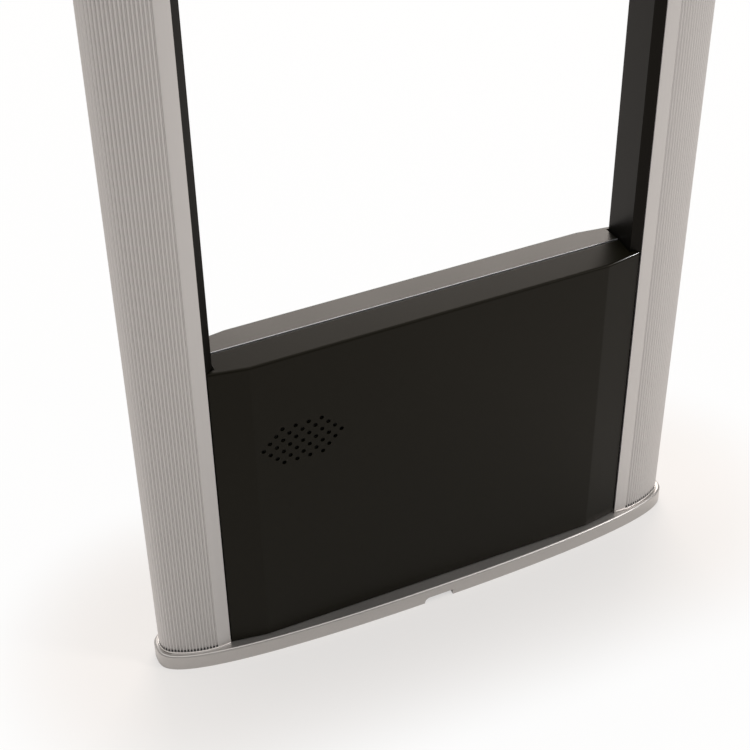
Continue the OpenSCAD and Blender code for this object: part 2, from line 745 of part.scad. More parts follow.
module cover_clips() {
    color(nylon) on_both_sides() for (z = CLIP_Z) difference() {
        union() {
            along_y([clip_x, z], flange_y0 - CLIP_LIP_T, flange_y0, CLIP_LIP_R);
            along_y([clip_x, z], flange_y0 - CLIP_LIP_T, flange_y0 + CHASSIS_T + CLIP_LIP_T, CLIP_R);
            along_y([clip_x, z], flange_y0 + CHASSIS_T, flange_y0 + CHASSIS_T + CLIP_LIP_T, CLIP_LIP_R);
        }
        along_y([clip_x, z], flange_y0 - CLIP_LIP_T - EPS, flange_y0 + CHASSIS_T + CLIP_LIP_T + EPS,
            STUD_R + RUN);
    }
}

// Chassis: a tray of folded sheet that carries everything in the lower housing
module chassis_tray() {
    color(zinc) difference() {
        union() {
            block(-chassis_half_w, chassis_half_w, chassis_y0, chassis_y1, base_t, chassis_z1);
            on_both_sides() {
                block(chassis_half_w - CHASSIS_T, chassis_half_w, flange_y0, chassis_y1,
                    base_t + FLANGE_UP, chassis_z1);
                for (z = CLIP_Z) block(chassis_half_w - TAB_LEN, chassis_half_w,
                    flange_y0, flange_y0 + CHASSIS_T, z - TAB_HALF_H, z + TAB_HALF_H);
                block(FOOT_X - FOOT_W / 2, FOOT_X + FOOT_W / 2, FOOT_SCREW_Y - FOOT_REACH, chassis_y1,
                    base_t, base_t + CHASSIS_T);
            }
        }
        on_both_sides() {
            for (z = CLIP_Z) along_y([clip_x, z], flange_y0 - EPS, flange_y0 + CHASSIS_T + EPS, CLIP_R + RUN);
            for (z = REAR_SCREW_Z) along_y([rear_screw_x, z], chassis_y0 - EPS, chassis_y1 + EPS, M4_R + RUN);
            cable_holes(chassis_half_w - CHASSIS_T, CHASSIS_T, loop_z0);
            translate([FOOT_X, FOOT_SCREW_Y, base_t - EPS])
                cylinder(h = CHASSIS_T + 2 * EPS, r = M4_R + SCREW_GAP);
        }
        for (p = TRAY_SCREWS) along_y(p, chassis_y0 - EPS, chassis_y1 + EPS, M4_R + SCREW_GAP);
    }
}

module chassis_screws() {
    color(dark_steel) {
        for (p = TRAY_SCREWS) pan_screw(p, chassis_y1, CHASSIS_T + TRAY_SCREW_BITE);
        on_both_sides() translate([FOOT_X, FOOT_SCREW_Y, base_t + CHASSIS_T]) rotate([90, 0, 0])
            pan_screw([0, 0], 0, CHASSIS_T + FOOT_BITE);
    }
}

// Main board
module main_board() {
    color(board_green) difference() {
        block(board_x0, board_x1, board_y0, board_y1, board_z0, board_z1);
        for (p = BOARD_HOLES) along_y(p, board_y0 - EPS, board_y1 + EPS, M3_R + SCREW_GAP);
    }
}

module board_standoffs() {
    color(zinc) for (p = BOARD_HOLES) difference() {
        along_y(p, board_y1, chassis_y0, STANDOFF_R);
        along_y(p, board_y1 - EPS, chassis_y0 + EPS, M3_R + RUN);
    }
}

module board_screws() {
    color(dark_steel) for (p = BOARD_HOLES) {
        along_y(p, board_y0 - M3_HEAD_H, board_y0, M3_HEAD_R);
        along_y(p, board_y0 - M3_HEAD_H, board_y1 + STANDOFF_L / 2, M3_R);
    }
}

module board_chips() {
    color(rubber) for (c = CHIPS)
        block(c[0] - c[2] / 2, c[0] + c[2] / 2, board_y0 - CHIP_T, board_y0,
            c[1] - c[3] / 2, c[1] + c[3] / 2);
}

module capacitors() {
    color(dark_steel) for (c = CAPACITORS) along_y([c[0], c[1]], board_y0 - c[3], board_y0, c[2]);
}

module tuning_coils() {
    color(zinc) for (p = COILS) difference() {
        block(p[0] - COIL_W / 2, p[0] + COIL_W / 2, board_y0 - COIL_H, board_y0,
            p[1] - COIL_W / 2, p[1] + COIL_W / 2);
        along_y(p, board_y0 - COIL_H - EPS, board_y0 - COIL_H / 2, COIL_CORE_R);
    }
}

module heat_sink() {
    color(alloy) {
        block(sink_x0, sink_x0 + SINK_W, board_y0 - SINK_BASE, board_y0, sink_z0, sink_z0 + SINK_H);
        for (i = [0 : SINK_FINS - 1]) let (x = sink_x0 + i * (SINK_W - SINK_FIN_T) / (SINK_FINS - 1))
            block(x, x + SINK_FIN_T, board_y0 - SINK_D, board_y0, sink_z0, sink_z0 + SINK_H);
    }
}

module terminal(x, z0, w, poles) {
    difference() {
        block(x - w / 2, x + w / 2, board_y0 - TERMINAL_D, board_y0, z0, z0 + TERMINAL_H);
        for (i = [0 : poles - 1])
            along_y([x + (i - (poles - 1) / 2) * TERMINAL_PITCH, z0 + TERMINAL_H / 2],
                board_y0 - TERMINAL_D - EPS, board_y0 - TERMINAL_D / 2, TERMINAL_SCREW_R);
    }
}

module terminal_blocks() {
    color([0.10, 0.42, 0.20]) {
        terminal(loop_terminal_x, terminal_z0, LOOP_TERMINAL_W, 4);
        terminal(lamp_terminal_x, terminal_z0, SIDE_TERMINAL_W, 2);
        terminal(speaker_terminal[0], speaker_terminal[1] - TERMINAL_H / 2, SIDE_TERMINAL_W, 2);
        terminal(power_terminal_x, power_terminal_z, SIDE_TERMINAL_W, 2);
    }
}

module status_leds() {
    color([0.2, 0.8, 0.3]) for (i = [0 : STATUS_COUNT - 1])
        let (p = [status_at[0] + i * STATUS_PITCH, status_at[1]]) {
            along_y(p, board_y0 - STATUS_H, board_y0, STATUS_R);
            translate([p[0], board_y0 - STATUS_H, p[1]]) sphere(r = STATUS_R);
        }
}

// Controls on the main board
function lever_x(i) = dip_at[0] + (i - (LEVER_COUNT + 1) / 2) * DIP_PITCH;
lever_z0 = dip_at[1] - (LEVER_H + lever_travel) / 2;

module dip_switch_body() {
    color([0.55, 0.06, 0.05]) difference() {
        block(dip_at[0] - DIP_W / 2, dip_at[0] + DIP_W / 2, board_y0 - DIP_D, board_y0,
            dip_at[1] - DIP_H / 2, dip_at[1] + DIP_H / 2);
        for (i = [1 : LEVER_COUNT])
            block(lever_x(i) - LEVER_W / 2 - LEVER_GAP, lever_x(i) + LEVER_W / 2 + LEVER_GAP,
            board_y0 - DIP_D - EPS, board_y0 - DIP_D + LEVER_SINK + LEVER_GAP,
            lever_z0 - LEVER_GAP, lever_z0 + LEVER_H + lever_travel + LEVER_GAP);
    }
}

module dip_lever(i) {
    color(nylon) block(lever_x(i) - LEVER_W / 2, lever_x(i) + LEVER_W / 2,
        board_y0 - DIP_D + LEVER_SINK - LEVER_D, board_y0 - DIP_D + LEVER_SINK, lever_z0, lever_z0 + LEVER_H);
}

module dip_lever_1() { dip_lever(1); }
module dip_lever_2() { dip_lever(2); }
module dip_lever_3() { dip_lever(3); }
module dip_lever_4() { dip_lever(4); }

module test_button_body() {
    color(rubber) difference() {
        block(button_at[0] - BUTTON_W / 2, button_at[0] + BUTTON_W / 2, board_y0 - BUTTON_D, board_y0,
            button_at[1] - BUTTON_W / 2, button_at[1] + BUTTON_W / 2);
        along_y(button_at, board_y0 - BUTTON_D - EPS,
            board_y0 - BUTTON_D + PLUNGER_IN + button_travel + CLEAR, PLUNGER_R + RUN);
    }
}

module test_plunger() {
    front = board_y0 - BUTTON_D;
    color(lamp_red) along_y(button_at, front - PLUNGER_OUT, front + PLUNGER_IN, PLUNGER_R);
}

pot_y = board_y0 - POT_D - POT_BUSH_L;

module volume_pot() {
    color(zinc) difference() {
        union() {
            block(volume_at[0] - POT_W / 2, volume_at[0] + POT_W / 2, board_y0 - POT_D, board_y0,
                volume_at[1] - POT_W / 2, volume_at[1] + POT_W / 2);
            along_y(volume_at, pot_y, board_y0 - POT_D + EPS, POT_BUSH_R);
        }
        along_y(volume_at, pot_y - EPS, pot_y + SHAFT_IN + CLEAR, SHAFT_R + RUN);
    }
}

module volume_knob() {
    front = pot_y - CLEAR - KNOB_H;
    color(rubber) difference() {
        union() {
            along_y(volume_at, front, pot_y - CLEAR, knob_d / 2);
            along_y(volume_at, pot_y - CLEAR - EPS, pot_y + SHAFT_IN, SHAFT_R);
        }
        block(volume_at[0] - POINTER_W / 2, volume_at[0] + POINTER_W / 2, front - EPS, front + POINTER_W,
            volume_at[1], volume_at[1] + knob_d);
    }
}

module trimmer_body() {
    color([0.12, 0.25, 0.55]) difference() {
        block(trimmer_at[0] - TRIMMER_W / 2, trimmer_at[0] + TRIMMER_W / 2, board_y0 - TRIMMER_D, board_y0,
            trimmer_at[1] - TRIMMER_W / 2, trimmer_at[1] + TRIMMER_W / 2);
        along_y(trimmer_at, board_y0 - TRIMMER_D - EPS, board_y0 - TRIMMER_D + ROTOR_D, ROTOR_R + RUN);
    }
}

module trimmer_rotor() {
    front = board_y0 - TRIMMER_D;
    color(nylon) difference() {
        along_y(trimmer_at, front, front + ROTOR_D - RUN, ROTOR_R);
        block(trimmer_at[0] - ROTOR_SLOT / 2, trimmer_at[0] + ROTOR_SLOT / 2, front - EPS, front + ROTOR_SLOT,
            trimmer_at[1] - 2 * ROTOR_R, trimmer_at[1] + 2 * ROTOR_R);
    }
}

// Power supply, main switch and fuse
module power_supply() {
    front = chassis_y0 - PSU_D;
    back = chassis_y0 - PSU_BACK;
    color(zinc) difference() {
        union() {
            difference() {
                block(psu_x0, psu_x0 + PSU_W, front, chassis_y0, psu_z0, psu_z0 + PSU_H);
                block(psu_x0 + PSU_WALL, psu_x0 + PSU_W - PSU_WALL, front + PSU_WALL, back,
                    psu_z0 + PSU_WALL, psu_z0 + PSU_H - PSU_WALL);
            }
            block(psu_x0 + PSU_CORE_IN, psu_x0 + PSU_CORE_IN + PSU_CORE_W, front + PSU_CORE_FRONT, chassis_y0,
                psu_z0 + PSU_CORE_UP, psu_z0 + PSU_H - PSU_CORE_UP);
        }
        for (i = [0 : PSU_VENTS - 1]) let (x = psu_x0 + PSU_VENT_IN + i * PSU_VENT_PITCH)
            block(x, x + PSU_VENT_W, front - EPS, front + PSU_WALL + EPS,
                psu_z0 + PSU_VENT_IN, psu_z0 + PSU_H - PSU_VENT_IN);
        for (p = PSU_SCREWS) along_y(p, chassis_y0 - TRAY_SCREW_BITE - CLEAR, chassis_y0 + EPS, M4_R + RUN);
    }
}

module switch_bracket() {
    x1 = bracket_x0 + BRACKET_W;
    z1 = bracket_z0 + BRACKET_H;
    foot_y = chassis_y0 - BRACKET_FOOT_T;
    color(zinc) difference() {
        union() {
            block(bracket_x0, x1, bracket_y0, bracket_y0 + BRACKET_T, bracket_z0, z1);
            block(bracket_x0, bracket_x0 + BRACKET_T, bracket_y0, chassis_y0, bracket_z0, z1);
            block(x1 - BRACKET_T, x1, bracket_y0, chassis_y0, bracket_z0, z1);
            block(bracket_x0, bracket_x0 + BRACKET_FOOT, foot_y, chassis_y0, bracket_z0, z1);
            block(x1 - BRACKET_FOOT, x1, foot_y, chassis_y0, bracket_z0, z1);
        }
        for (p = BRACKET_SCREWS) along_y(p, foot_y - EPS, chassis_y0 + EPS, M4_R + RUN);
        block(rocker_at[0] - rocker_body_w / 2 - CLEAR, rocker_at[0] + rocker_body_w / 2 + CLEAR,
            bracket_y0 - EPS, bracket_y0 + BRACKET_T + EPS,
            rocker_at[1] - rocker_body_h / 2 - CLEAR, rocker_at[1] + rocker_body_h / 2 + CLEAR);
        along_y(fuse_at, bracket_y0 - EPS, bracket_y0 + BRACKET_T + EPS, FUSE_R + RUN);
    }
}

module rocker_place() {
    translate([rocker_at[0], rocker_pivot_y, rocker_at[1]]) children();
}

module rocker_frame() {
    color(rubber) difference() {
        union() {
            block(rocker_at[0] - ROCKER_FRAME_W / 2, rocker_at[0] + ROCKER_FRAME_W / 2,
                bracket_y0 - ROCKER_BEZEL, bracket_y0,
                rocker_at[1] - ROCKER_FRAME_H / 2, rocker_at[1] + ROCKER_FRAME_H / 2);
            block(rocker_at[0] - rocker_body_w / 2, rocker_at[0] + rocker_body_w / 2,
                bracket_y0 - EPS, bracket_y0 + ROCKER_DEEP,
                rocker_at[1] - rocker_body_h / 2, rocker_at[1] + rocker_body_h / 2);
        }
        block(rocker_at[0] - ROCKER_W / 2 - CLEAR, rocker_at[0] + ROCKER_W / 2 + CLEAR,
            bracket_y0 - ROCKER_BEZEL - EPS, rocker_pivot_y + ROCKER_POCKET,
            rocker_at[1] - rocker_sweep, rocker_at[1] + rocker_sweep);
        rocker_place() translate([-ROCKER_W / 2 - ROCKER_PIN_L - RUN, 0, 0]) rotate([0, 90, 0])
            cylinder(h = ROCKER_W + 2 * (ROCKER_PIN_L + RUN), r = ROCKER_PIN_R + RUN);
    }
}

module power_rocker() {
    color([0.45, 0.04, 0.04]) rocker_place() rotate([ROCKER_A, 0, 0]) {
        translate([-ROCKER_W / 2, 0, 0]) rotate([90, 0, 90]) linear_extrude(ROCKER_W) polygon([
            [-ROCKER_NOSE, ROCKER_HALF_H], [-ROCKER_WAIST, 0], [-ROCKER_NOSE, -ROCKER_HALF_H],
            [ROCKER_HEEL, -ROCKER_HEEL_H], [ROCKER_HEEL, ROCKER_HEEL_H]]);
        translate([-ROCKER_W / 2 - ROCKER_PIN_L, 0, 0]) rotate([0, 90, 0])
            cylinder(h = ROCKER_W + 2 * ROCKER_PIN_L, r = ROCKER_PIN_R);
    }
}

module fuse_holder() {
    color(rubber) difference() {
        union() {
            along_y(fuse_at, bracket_y0 - FUSE_LIP_T, bracket_y0, FUSE_LIP_R);
            along_y(fuse_at, bracket_y0 - FUSE_LIP_T, bracket_y0 + FUSE_L, FUSE_R);
        }
        along_y(fuse_at, bracket_y0 - FUSE_LIP_T - EPS, bracket_y0 + FUSE_PLUG_L + CLEAR, FUSE_PLUG_R + RUN);
    }
}

module fuse_cap() {
    back = bracket_y0 - FUSE_LIP_T - CLEAR;
    color(rubber) difference() {
        union() {
            along_y(fuse_at, back - FUSE_CAP_H, back, FUSE_CAP_R);
            along_y(fuse_at, back - EPS, bracket_y0 + FUSE_PLUG_L, FUSE_PLUG_R);
        }
        block(fuse_at[0] - FUSE_SLOT / 2, fuse_at[0] + FUSE_SLOT / 2, back - FUSE_CAP_H - EPS,
            back - FUSE_CAP_H + FUSE_SLOT, fuse_at[1] - 2 * FUSE_CAP_R, fuse_at[1] + 2 * FUSE_CAP_R);
    }
}

// Speaker behind the sound holes, its axis along Y
module speaker_place() {
    translate([speaker_x, speaker_y0, sound_z]) rotate([-90, 0, 0]) children();
}

module speaker_frame() {
    rim_in = speaker_r - SPEAKER_RIM;
    back = SPEAKER_DEEP + SPEAKER_RIM_T;
    color(dark_steel) speaker_place() difference() {
        rotate_extrude() polygon([[rim_in, 0], [speaker_r, 0], [speaker_r, SPEAKER_RIM_T],
            [rim_in + SPEAKER_RIM_T, SPEAKER_RIM_T], [MAGNET_R, SPEAKER_DEEP], [MAGNET_R, back],
            [SPEAKER_POLE_R, back], [SPEAKER_POLE_R, SPEAKER_DEEP],
            [MAGNET_R - SPEAKER_RIM_T, SPEAKER_DEEP], [rim_in, SPEAKER_RIM_T]]);
        for (p = SPEAKER_HOLES) translate(p) translate([0, 0, -EPS])
            cylinder(h = SPEAKER_RIM_T + 2 * EPS, r = M3_R + SCREW_GAP);
    }
}

module speaker_magnet() {
    color(rubber) speaker_place() translate([0, 0, SPEAKER_DEEP + SPEAKER_RIM_T])
        cylinder(h = MAGNET_H, r = MAGNET_R);
}

// Paper cone with its dust cap and voice coil former, hung at the rim
module speaker_cone() {
    rim = speaker_r - SPEAKER_RIM - CLEAR;
    color(dark_steel) speaker_place() rotate_extrude() polygon([
        [0, CONE_DEEP - CONE_CAP], [CONE_CORE_R, CONE_DEEP - CONE_T], [rim, CONE_REST],
        [rim, CONE_REST + CONE_T], [CONE_CORE_R, CONE_DEEP], [CONE_CORE_R, CONE_FORMER], [0, CONE_FORMER]]);
}

module speaker_spacers() {
    top = SPEAKER_RIM_T;
    color(zinc) speaker_place() for (p = SPEAKER_HOLES) translate(p) difference() {
        translate([0, 0, top]) cylinder(h = chassis_y0 - speaker_y0 - top, r = SPACER_R);
        translate([0, 0, top - EPS]) cylinder(h = SPEAKER_SCREW_L + EPS, r = M3_R + RUN);
    }
}

module speaker_screws() {
    length = M3_HEAD_H + SPEAKER_RIM_T + SPEAKER_SCREW_L - CLEAR;
    color(dark_steel) speaker_place() for (p = SPEAKER_HOLES) translate(p) translate([0, 0, -M3_HEAD_H]) {
        cylinder(h = M3_HEAD_H, r = M3_HEAD_R);
        cylinder(h = length, r = M3_R);
    }
}

// Cables held inside the gate
module antenna_loop() {
    top = terminal_z0 + TERMINAL_H;
    x0 = loop_terminal_x - loop_gap / 2;
    x1 = loop_terminal_x + loop_gap / 2;
    color(rubber) tube(eased([[x0, loop_y, top], [x0, loop_y, loop_z0],
        [-loop_x, loop_y, loop_z0], [-loop_x, loop_y, loop_z1], [loop_x, loop_y, loop_z1],
        [loop_x, loop_y, loop_z0], [x1, loop_y, loop_z0], [x1, loop_y, top]], LOOP_BEND), loop_r);
}

module lamp_lead() {
    color(nylon) tube(eased([
        [lamp_terminal_x, loop_y, terminal_z0 + TERMINAL_H], [lamp_terminal_x, loop_y, loop_z0 - 11],
        [lamp_terminal_x + 12, lead_y, loop_z0], [loop_x, lead_y, loop_z0], [loop_x, lead_y, loop_z1],
        [channel_x - 8, lead_y, loop_z1], [channel_x - 20, 0, loop_z1 + 10],
        [lamp_board_l / 2 + 16, 0, lens_z - 16], [lamp_board_l / 2 + 10, 0, lens_z],
        [lamp_board_l / 2, 0, lens_z]], LEAD_BEND), LEAD_R);
}

module speaker_lead() {
    x0 = speaker_terminal[0] - SIDE_TERMINAL_W / 2;
    magnet_x = speaker_x + MAGNET_R + CLEAR;
    magnet_y = speaker_y0 + SPEAKER_DEEP + SPEAKER_RIM_T + MAGNET_H / 2;
    color(nylon) tube(eased([[x0, loop_y, speaker_terminal[1]], [x0 - 10, loop_y, speaker_terminal[1]],
        [x0 - 20, magnet_y, sound_z], [magnet_x, magnet_y, sound_z]], LEAD_BEND / 2), LEAD_R);
}

module power_lead() {
    x0 = power_terminal_x - 14;
    z0 = psu_z0 + PSU_H;
    color(nylon) tube(eased([[x0, loop_y, z0], [x0, loop_y, z0 + 10], [power_terminal_x, loop_y, z0 + 12],
        [power_terminal_x, loop_y, power_terminal_z]], LEAD_BEND), LEAD_R);
}

// Lamp head
module head_cover() {
    difference() {
        translate([0, 0, head_z0 + head_z1]) mirror([0, 0, 1]) cover_sheet(head_z0, head_z1);
        block(-lens_w / 2, lens_w / 2, -cover_half_d - EPS, -cover_in_y + EPS,
            lens_z - lens_h / 2, lens_z + lens_h / 2);
        on_both_sides()
            along_y([head_screw_x, lens_z], -cover_half_d - EPS, -cover_in_y + EPS, M4_R + SCREW_GAP);
    }
}

module head_front_cover() {
    color(black) head_cover();
}

module head_rear_cover() {
    color(black) mirror([0, 1, 0]) head_cover();
}

module front_lens() {
    color(lamp_red) {
        block(-lens_w / 2 + CLEAR, lens_w / 2 - CLEAR, -cover_half_d - LENS_PROUD, -cover_in_y,
            lens_z - lens_h / 2 + CLEAR, lens_z + lens_h / 2 - CLEAR);
        block(-lens_w / 2 - LENS_LIP, lens_w / 2 + LENS_LIP, -cover_in_y, -cover_in_y + LENS_LIP_T,
            lens_z - lens_h / 2 - LENS_LIP, lens_z + lens_h / 2 + LENS_LIP);
    }
}

module rear_lens() {
    mirror([0, 1, 0]) front_lens();
}

module head_bracket() {
    top = gate_h - base_t;
    sheet_y1 = HEAD_SHEET_Y + HEAD_SHEET;
    stud_x = lamp_board_l / 2 - LAMP_STUD_IN;
    color(zinc) difference() {
        union() {
            block(-head_half_w, head_half_w, HEAD_SHEET_Y, sheet_y1, head_z0 + HEAD_SHEET_UP, top);
            on_both_sides() {
                block(head_foot_x - HEAD_FOOT / 2, head_foot_x + HEAD_FOOT / 2, -HEAD_FOOT / 2, sheet_y1,
                    top - HEAD_SHEET, top);
                along_y([head_screw_x, lens_z], -cover_in_y, cover_in_y, HEAD_SPACER_R);
                along_y([stud_x, lens_z], LAMP_BOARD_T / 2, HEAD_SHEET_Y + EPS, LAMP_STUD_R);
            }
        }
        block(-lamp_window, lamp_window, HEAD_SHEET_Y - EPS, sheet_y1 + EPS,
            lens_z - lens_h / 2, lens_z + lens_h / 2);
        on_both_sides() {
            translate([head_foot_x, 0, top - HEAD_SHEET - EPS])
                cylinder(h = HEAD_SHEET + 2 * EPS, r = M4_R + SCREW_GAP);
            for (y = [-cover_in_y, cover_in_y])
                along_y([head_screw_x, lens_z], y - HEAD_BITE, y + HEAD_BITE, M4_R + RUN);
        }
    }
}

module lamp_board() {
    color(board_green) block(-lamp_board_l / 2, lamp_board_l / 2, -LAMP_BOARD_T / 2, LAMP_BOARD_T / 2,
        lens_z - LAMP_BOARD_H / 2, lens_z + LAMP_BOARD_H / 2);
}

module lamp_leds() {
    pitch = 2 * lamp_window / (LAMP_COUNT + 1);
    color(lamp_red) for (i = [1 : LAMP_COUNT]) let (at = [i * pitch - lamp_window, lens_z]) {
        along_y(at, -LAMP_BOARD_T / 2 - LED_H, -LAMP_BOARD_T / 2, LED_R);
        along_y(at, LAMP_BOARD_T / 2, LAMP_BOARD_T / 2 + LED_H, LED_R);
    }
}

module head_screws() {
    color(dark_steel) on_both_sides() {
        pan_screw([head_screw_x, lens_z], cover_half_d, sheet_t + HEAD_BITE - CLEAR);
        mirror([0, 1, 0]) pan_screw([head_screw_x, lens_z], cover_half_d, sheet_t + HEAD_BITE - CLEAR);
        translate([head_foot_x, 0, gate_h - base_t - HEAD_SHEET]) rotate([-90, 0, 0])
            pan_screw([0, 0], 0, HEAD_SHEET + base_t - base_top_t - CLEAR);
    }
}

base_casting();
left_post();
right_post();
left_channel();
right_channel();
top_cap();
base_screws();
cap_screws();
cable_grommet();
chassis_tray();
chassis_screws();
rear_cover();
rear_spacers();
rear_cover_screws();
front_cover();
cover_studs();
cover_clips();
main_board();
board_standoffs();
board_screws();
board_chips();
capacitors();
tuning_coils();
heat_sink();
terminal_blocks();
status_leds();
dip_switch_body();
dip_lever_1();
dip_lever_2();
dip_lever_3();
dip_lever_4();
test_button_body();
test_plunger();
volume_pot();
volume_knob();
trimmer_body();
trimmer_rotor();
power_supply();
switch_bracket();
rocker_frame();
power_rocker();
fuse_holder();
fuse_cap();
speaker_frame();
speaker_magnet();
speaker_cone();
speaker_spacers();
speaker_screws();
antenna_loop();
lamp_lead();
speaker_lead();
power_lead();
head_front_cover();
head_rear_cover();
head_bracket();
front_lens();
rear_lens();
lamp_board();
lamp_leds();
head_screws();
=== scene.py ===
"""Looks of a security gate: folded covers, ribbed posts, cables and small parts round its CAD frame."""

import json
import math

import bmesh
import bpy
from bpy.props import FloatProperty, FloatVectorProperty, IntProperty, PointerProperty
from mathutils import Matrix, Vector

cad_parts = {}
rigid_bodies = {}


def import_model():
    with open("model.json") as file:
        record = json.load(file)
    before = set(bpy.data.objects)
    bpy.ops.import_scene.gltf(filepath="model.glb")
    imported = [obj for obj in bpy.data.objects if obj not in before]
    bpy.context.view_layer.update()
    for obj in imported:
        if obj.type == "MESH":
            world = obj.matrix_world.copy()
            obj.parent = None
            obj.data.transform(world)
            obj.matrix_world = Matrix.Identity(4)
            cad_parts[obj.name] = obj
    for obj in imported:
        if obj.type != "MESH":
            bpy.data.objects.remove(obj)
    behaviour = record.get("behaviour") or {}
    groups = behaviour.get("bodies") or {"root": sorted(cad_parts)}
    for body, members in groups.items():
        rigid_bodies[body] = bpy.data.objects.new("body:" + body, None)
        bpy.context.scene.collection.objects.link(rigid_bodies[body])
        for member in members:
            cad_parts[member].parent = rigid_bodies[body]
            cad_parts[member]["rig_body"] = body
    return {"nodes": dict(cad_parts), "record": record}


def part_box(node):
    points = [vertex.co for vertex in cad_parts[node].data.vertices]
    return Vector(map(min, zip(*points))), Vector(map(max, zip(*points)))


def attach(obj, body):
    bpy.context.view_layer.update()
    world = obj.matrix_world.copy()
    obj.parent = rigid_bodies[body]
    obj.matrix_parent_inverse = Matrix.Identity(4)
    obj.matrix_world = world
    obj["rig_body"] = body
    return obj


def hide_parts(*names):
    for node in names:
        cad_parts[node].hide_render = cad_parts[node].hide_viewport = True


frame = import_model()

bl_info = {
    "name": "Security gate looks",
    "version": (1, 0, 0),
    "blender": (4, 5, 0),
    "location": "3D View > Sidebar > Gate",
    "description": "Builds the shells, cables, small parts and finishes of a security gate",
    "category": "Add Mesh",
}

MM = 0.001
WELD = 0.002 * MM
LEVEL = 0.01 * MM
CREASE = 32.0
RIM_SHARE = 0.95
FRONT = Vector((0, -1, 0))
BACK = Vector((0, 1, 0))
SLOT_OF = {part["node"]: part["material_slot"] for part in frame["record"]["subparts"]}


def length(name, description, default):
    """A length for the sidebar, given in millimetres."""
    return FloatProperty(name=name, description=description, default=default * MM, min=0.0, precision=5,
                         subtype="DISTANCE", unit="LENGTH")


def colour(name, description, default):
    """A linear colour for the sidebar."""
    return FloatVectorProperty(name=name, description=description, default=default, size=3, min=0.0, max=1.0,
                               subtype="COLOR")


def number(name, description, default, unit="NONE"):
    """A strength or a power for the sidebar."""
    return FloatProperty(name=name, description=description, default=default, min=0.0, unit=unit)


def share(name, description, default):
    """A part of one for the sidebar."""
    return FloatProperty(name=name, description=description, default=default, min=0.0, max=1.0,
                         subtype="FACTOR")


class GateSizes(bpy.types.PropertyGroup):
    """Sizes of the gate's visible shells"""

    sheet: length("Sheet", "Thickness of the folded covers", 1.2)
    fold_radius: length("Fold radius", "Outer radius of the fold along the top of a cover", 1.7)
    seam_radius: length("Seam radius", "Radius of the edges that meet at the seam", 0.35)
    seam_gap: length("Seam gap", "How far the front cover stays back from the seam", 0.8)
    bend_radius: length("Bend radius", "Radius of the soft bend before a slanted end", 9)
    slant: length("Slanted end", "Length of the slanted end of a cover", 25)
    slant_drop: length("Slant drop", "How far the slanted end runs back", 4)
    ridge_rise: length("Ridge rise", "Rise of the top flange from the fold to the seam", 2.2)
    flange_notch: length("Flange notch", "Half width of the notch round an antenna channel", 14.6)
    notch_depth: length("Notch depth", "How far the notch reaches in from the cover's end", 5.8)
    sound_hole: length("Sound hole", "Diameter of a sound hole", 3)
    sound_pitch: length("Sound pitch", "Pitch of the sound holes along a row", 8.8)
    sound_row: length("Sound row", "Pitch of the rows of sound holes", 4.55)
    sound_height: length("Sound height", "Height of the middle row above the floor", 174)
    channel_face: length("Channel face", "Half width of a channel at its edge in the opening", 13.6)
    channel_rise: length("Channel rise", "How far a channel's front slopes out towards its post", 4.1)
    channel_edge: length("Channel edge", "Radius of the edges of a channel", 0.4)
    channel_gap: length("Channel gap", "Gap between a channel's sloping front and the flanges", 0.4)
    post_nose: length("Post nose", "Radius of the nose of a post", 12)
    post_crest: length("Post crest", "Distance of the widest place from the inner edge", 7)
    post_wall: length("Post wall", "Wall of the extrusion", 2.2)
    post_smooth: length("Smooth strip", "Smooth strip beside the inner edge of a post", 9)
    post_edge: length("Post edge", "Radius of the inner edge of a post", 0.35)
    rib_pitch: length("Rib pitch", "Pitch of the ribs", 2.1)
    rib_depth: length("Rib depth", "Depth of the grooves between the ribs", 0.68)
    # The dark rubber fills in the ends of the grooves are a painted shade at the groove ends.
    seal: length("Seal", "Height of the rubber that fills the grooves at the ends of a post", 1.3)
    painted_groove_shade_inset: length("Seal inset", "How far the rubber stays inside the ribs", 0.06)
    rim_radius: length("Rim radius", "Radius of the upper rim of the castings", 1.6)
    plinth: length("Plinth", "Height of the plinths on the base", 1.5)
    plinth_radius: length("Plinth radius", "Radius of the upper rim of the plinths", 0.3)
    rib_steps: IntProperty(name="Rib steps", description="Points along one rib", default=12, min=4, max=24)


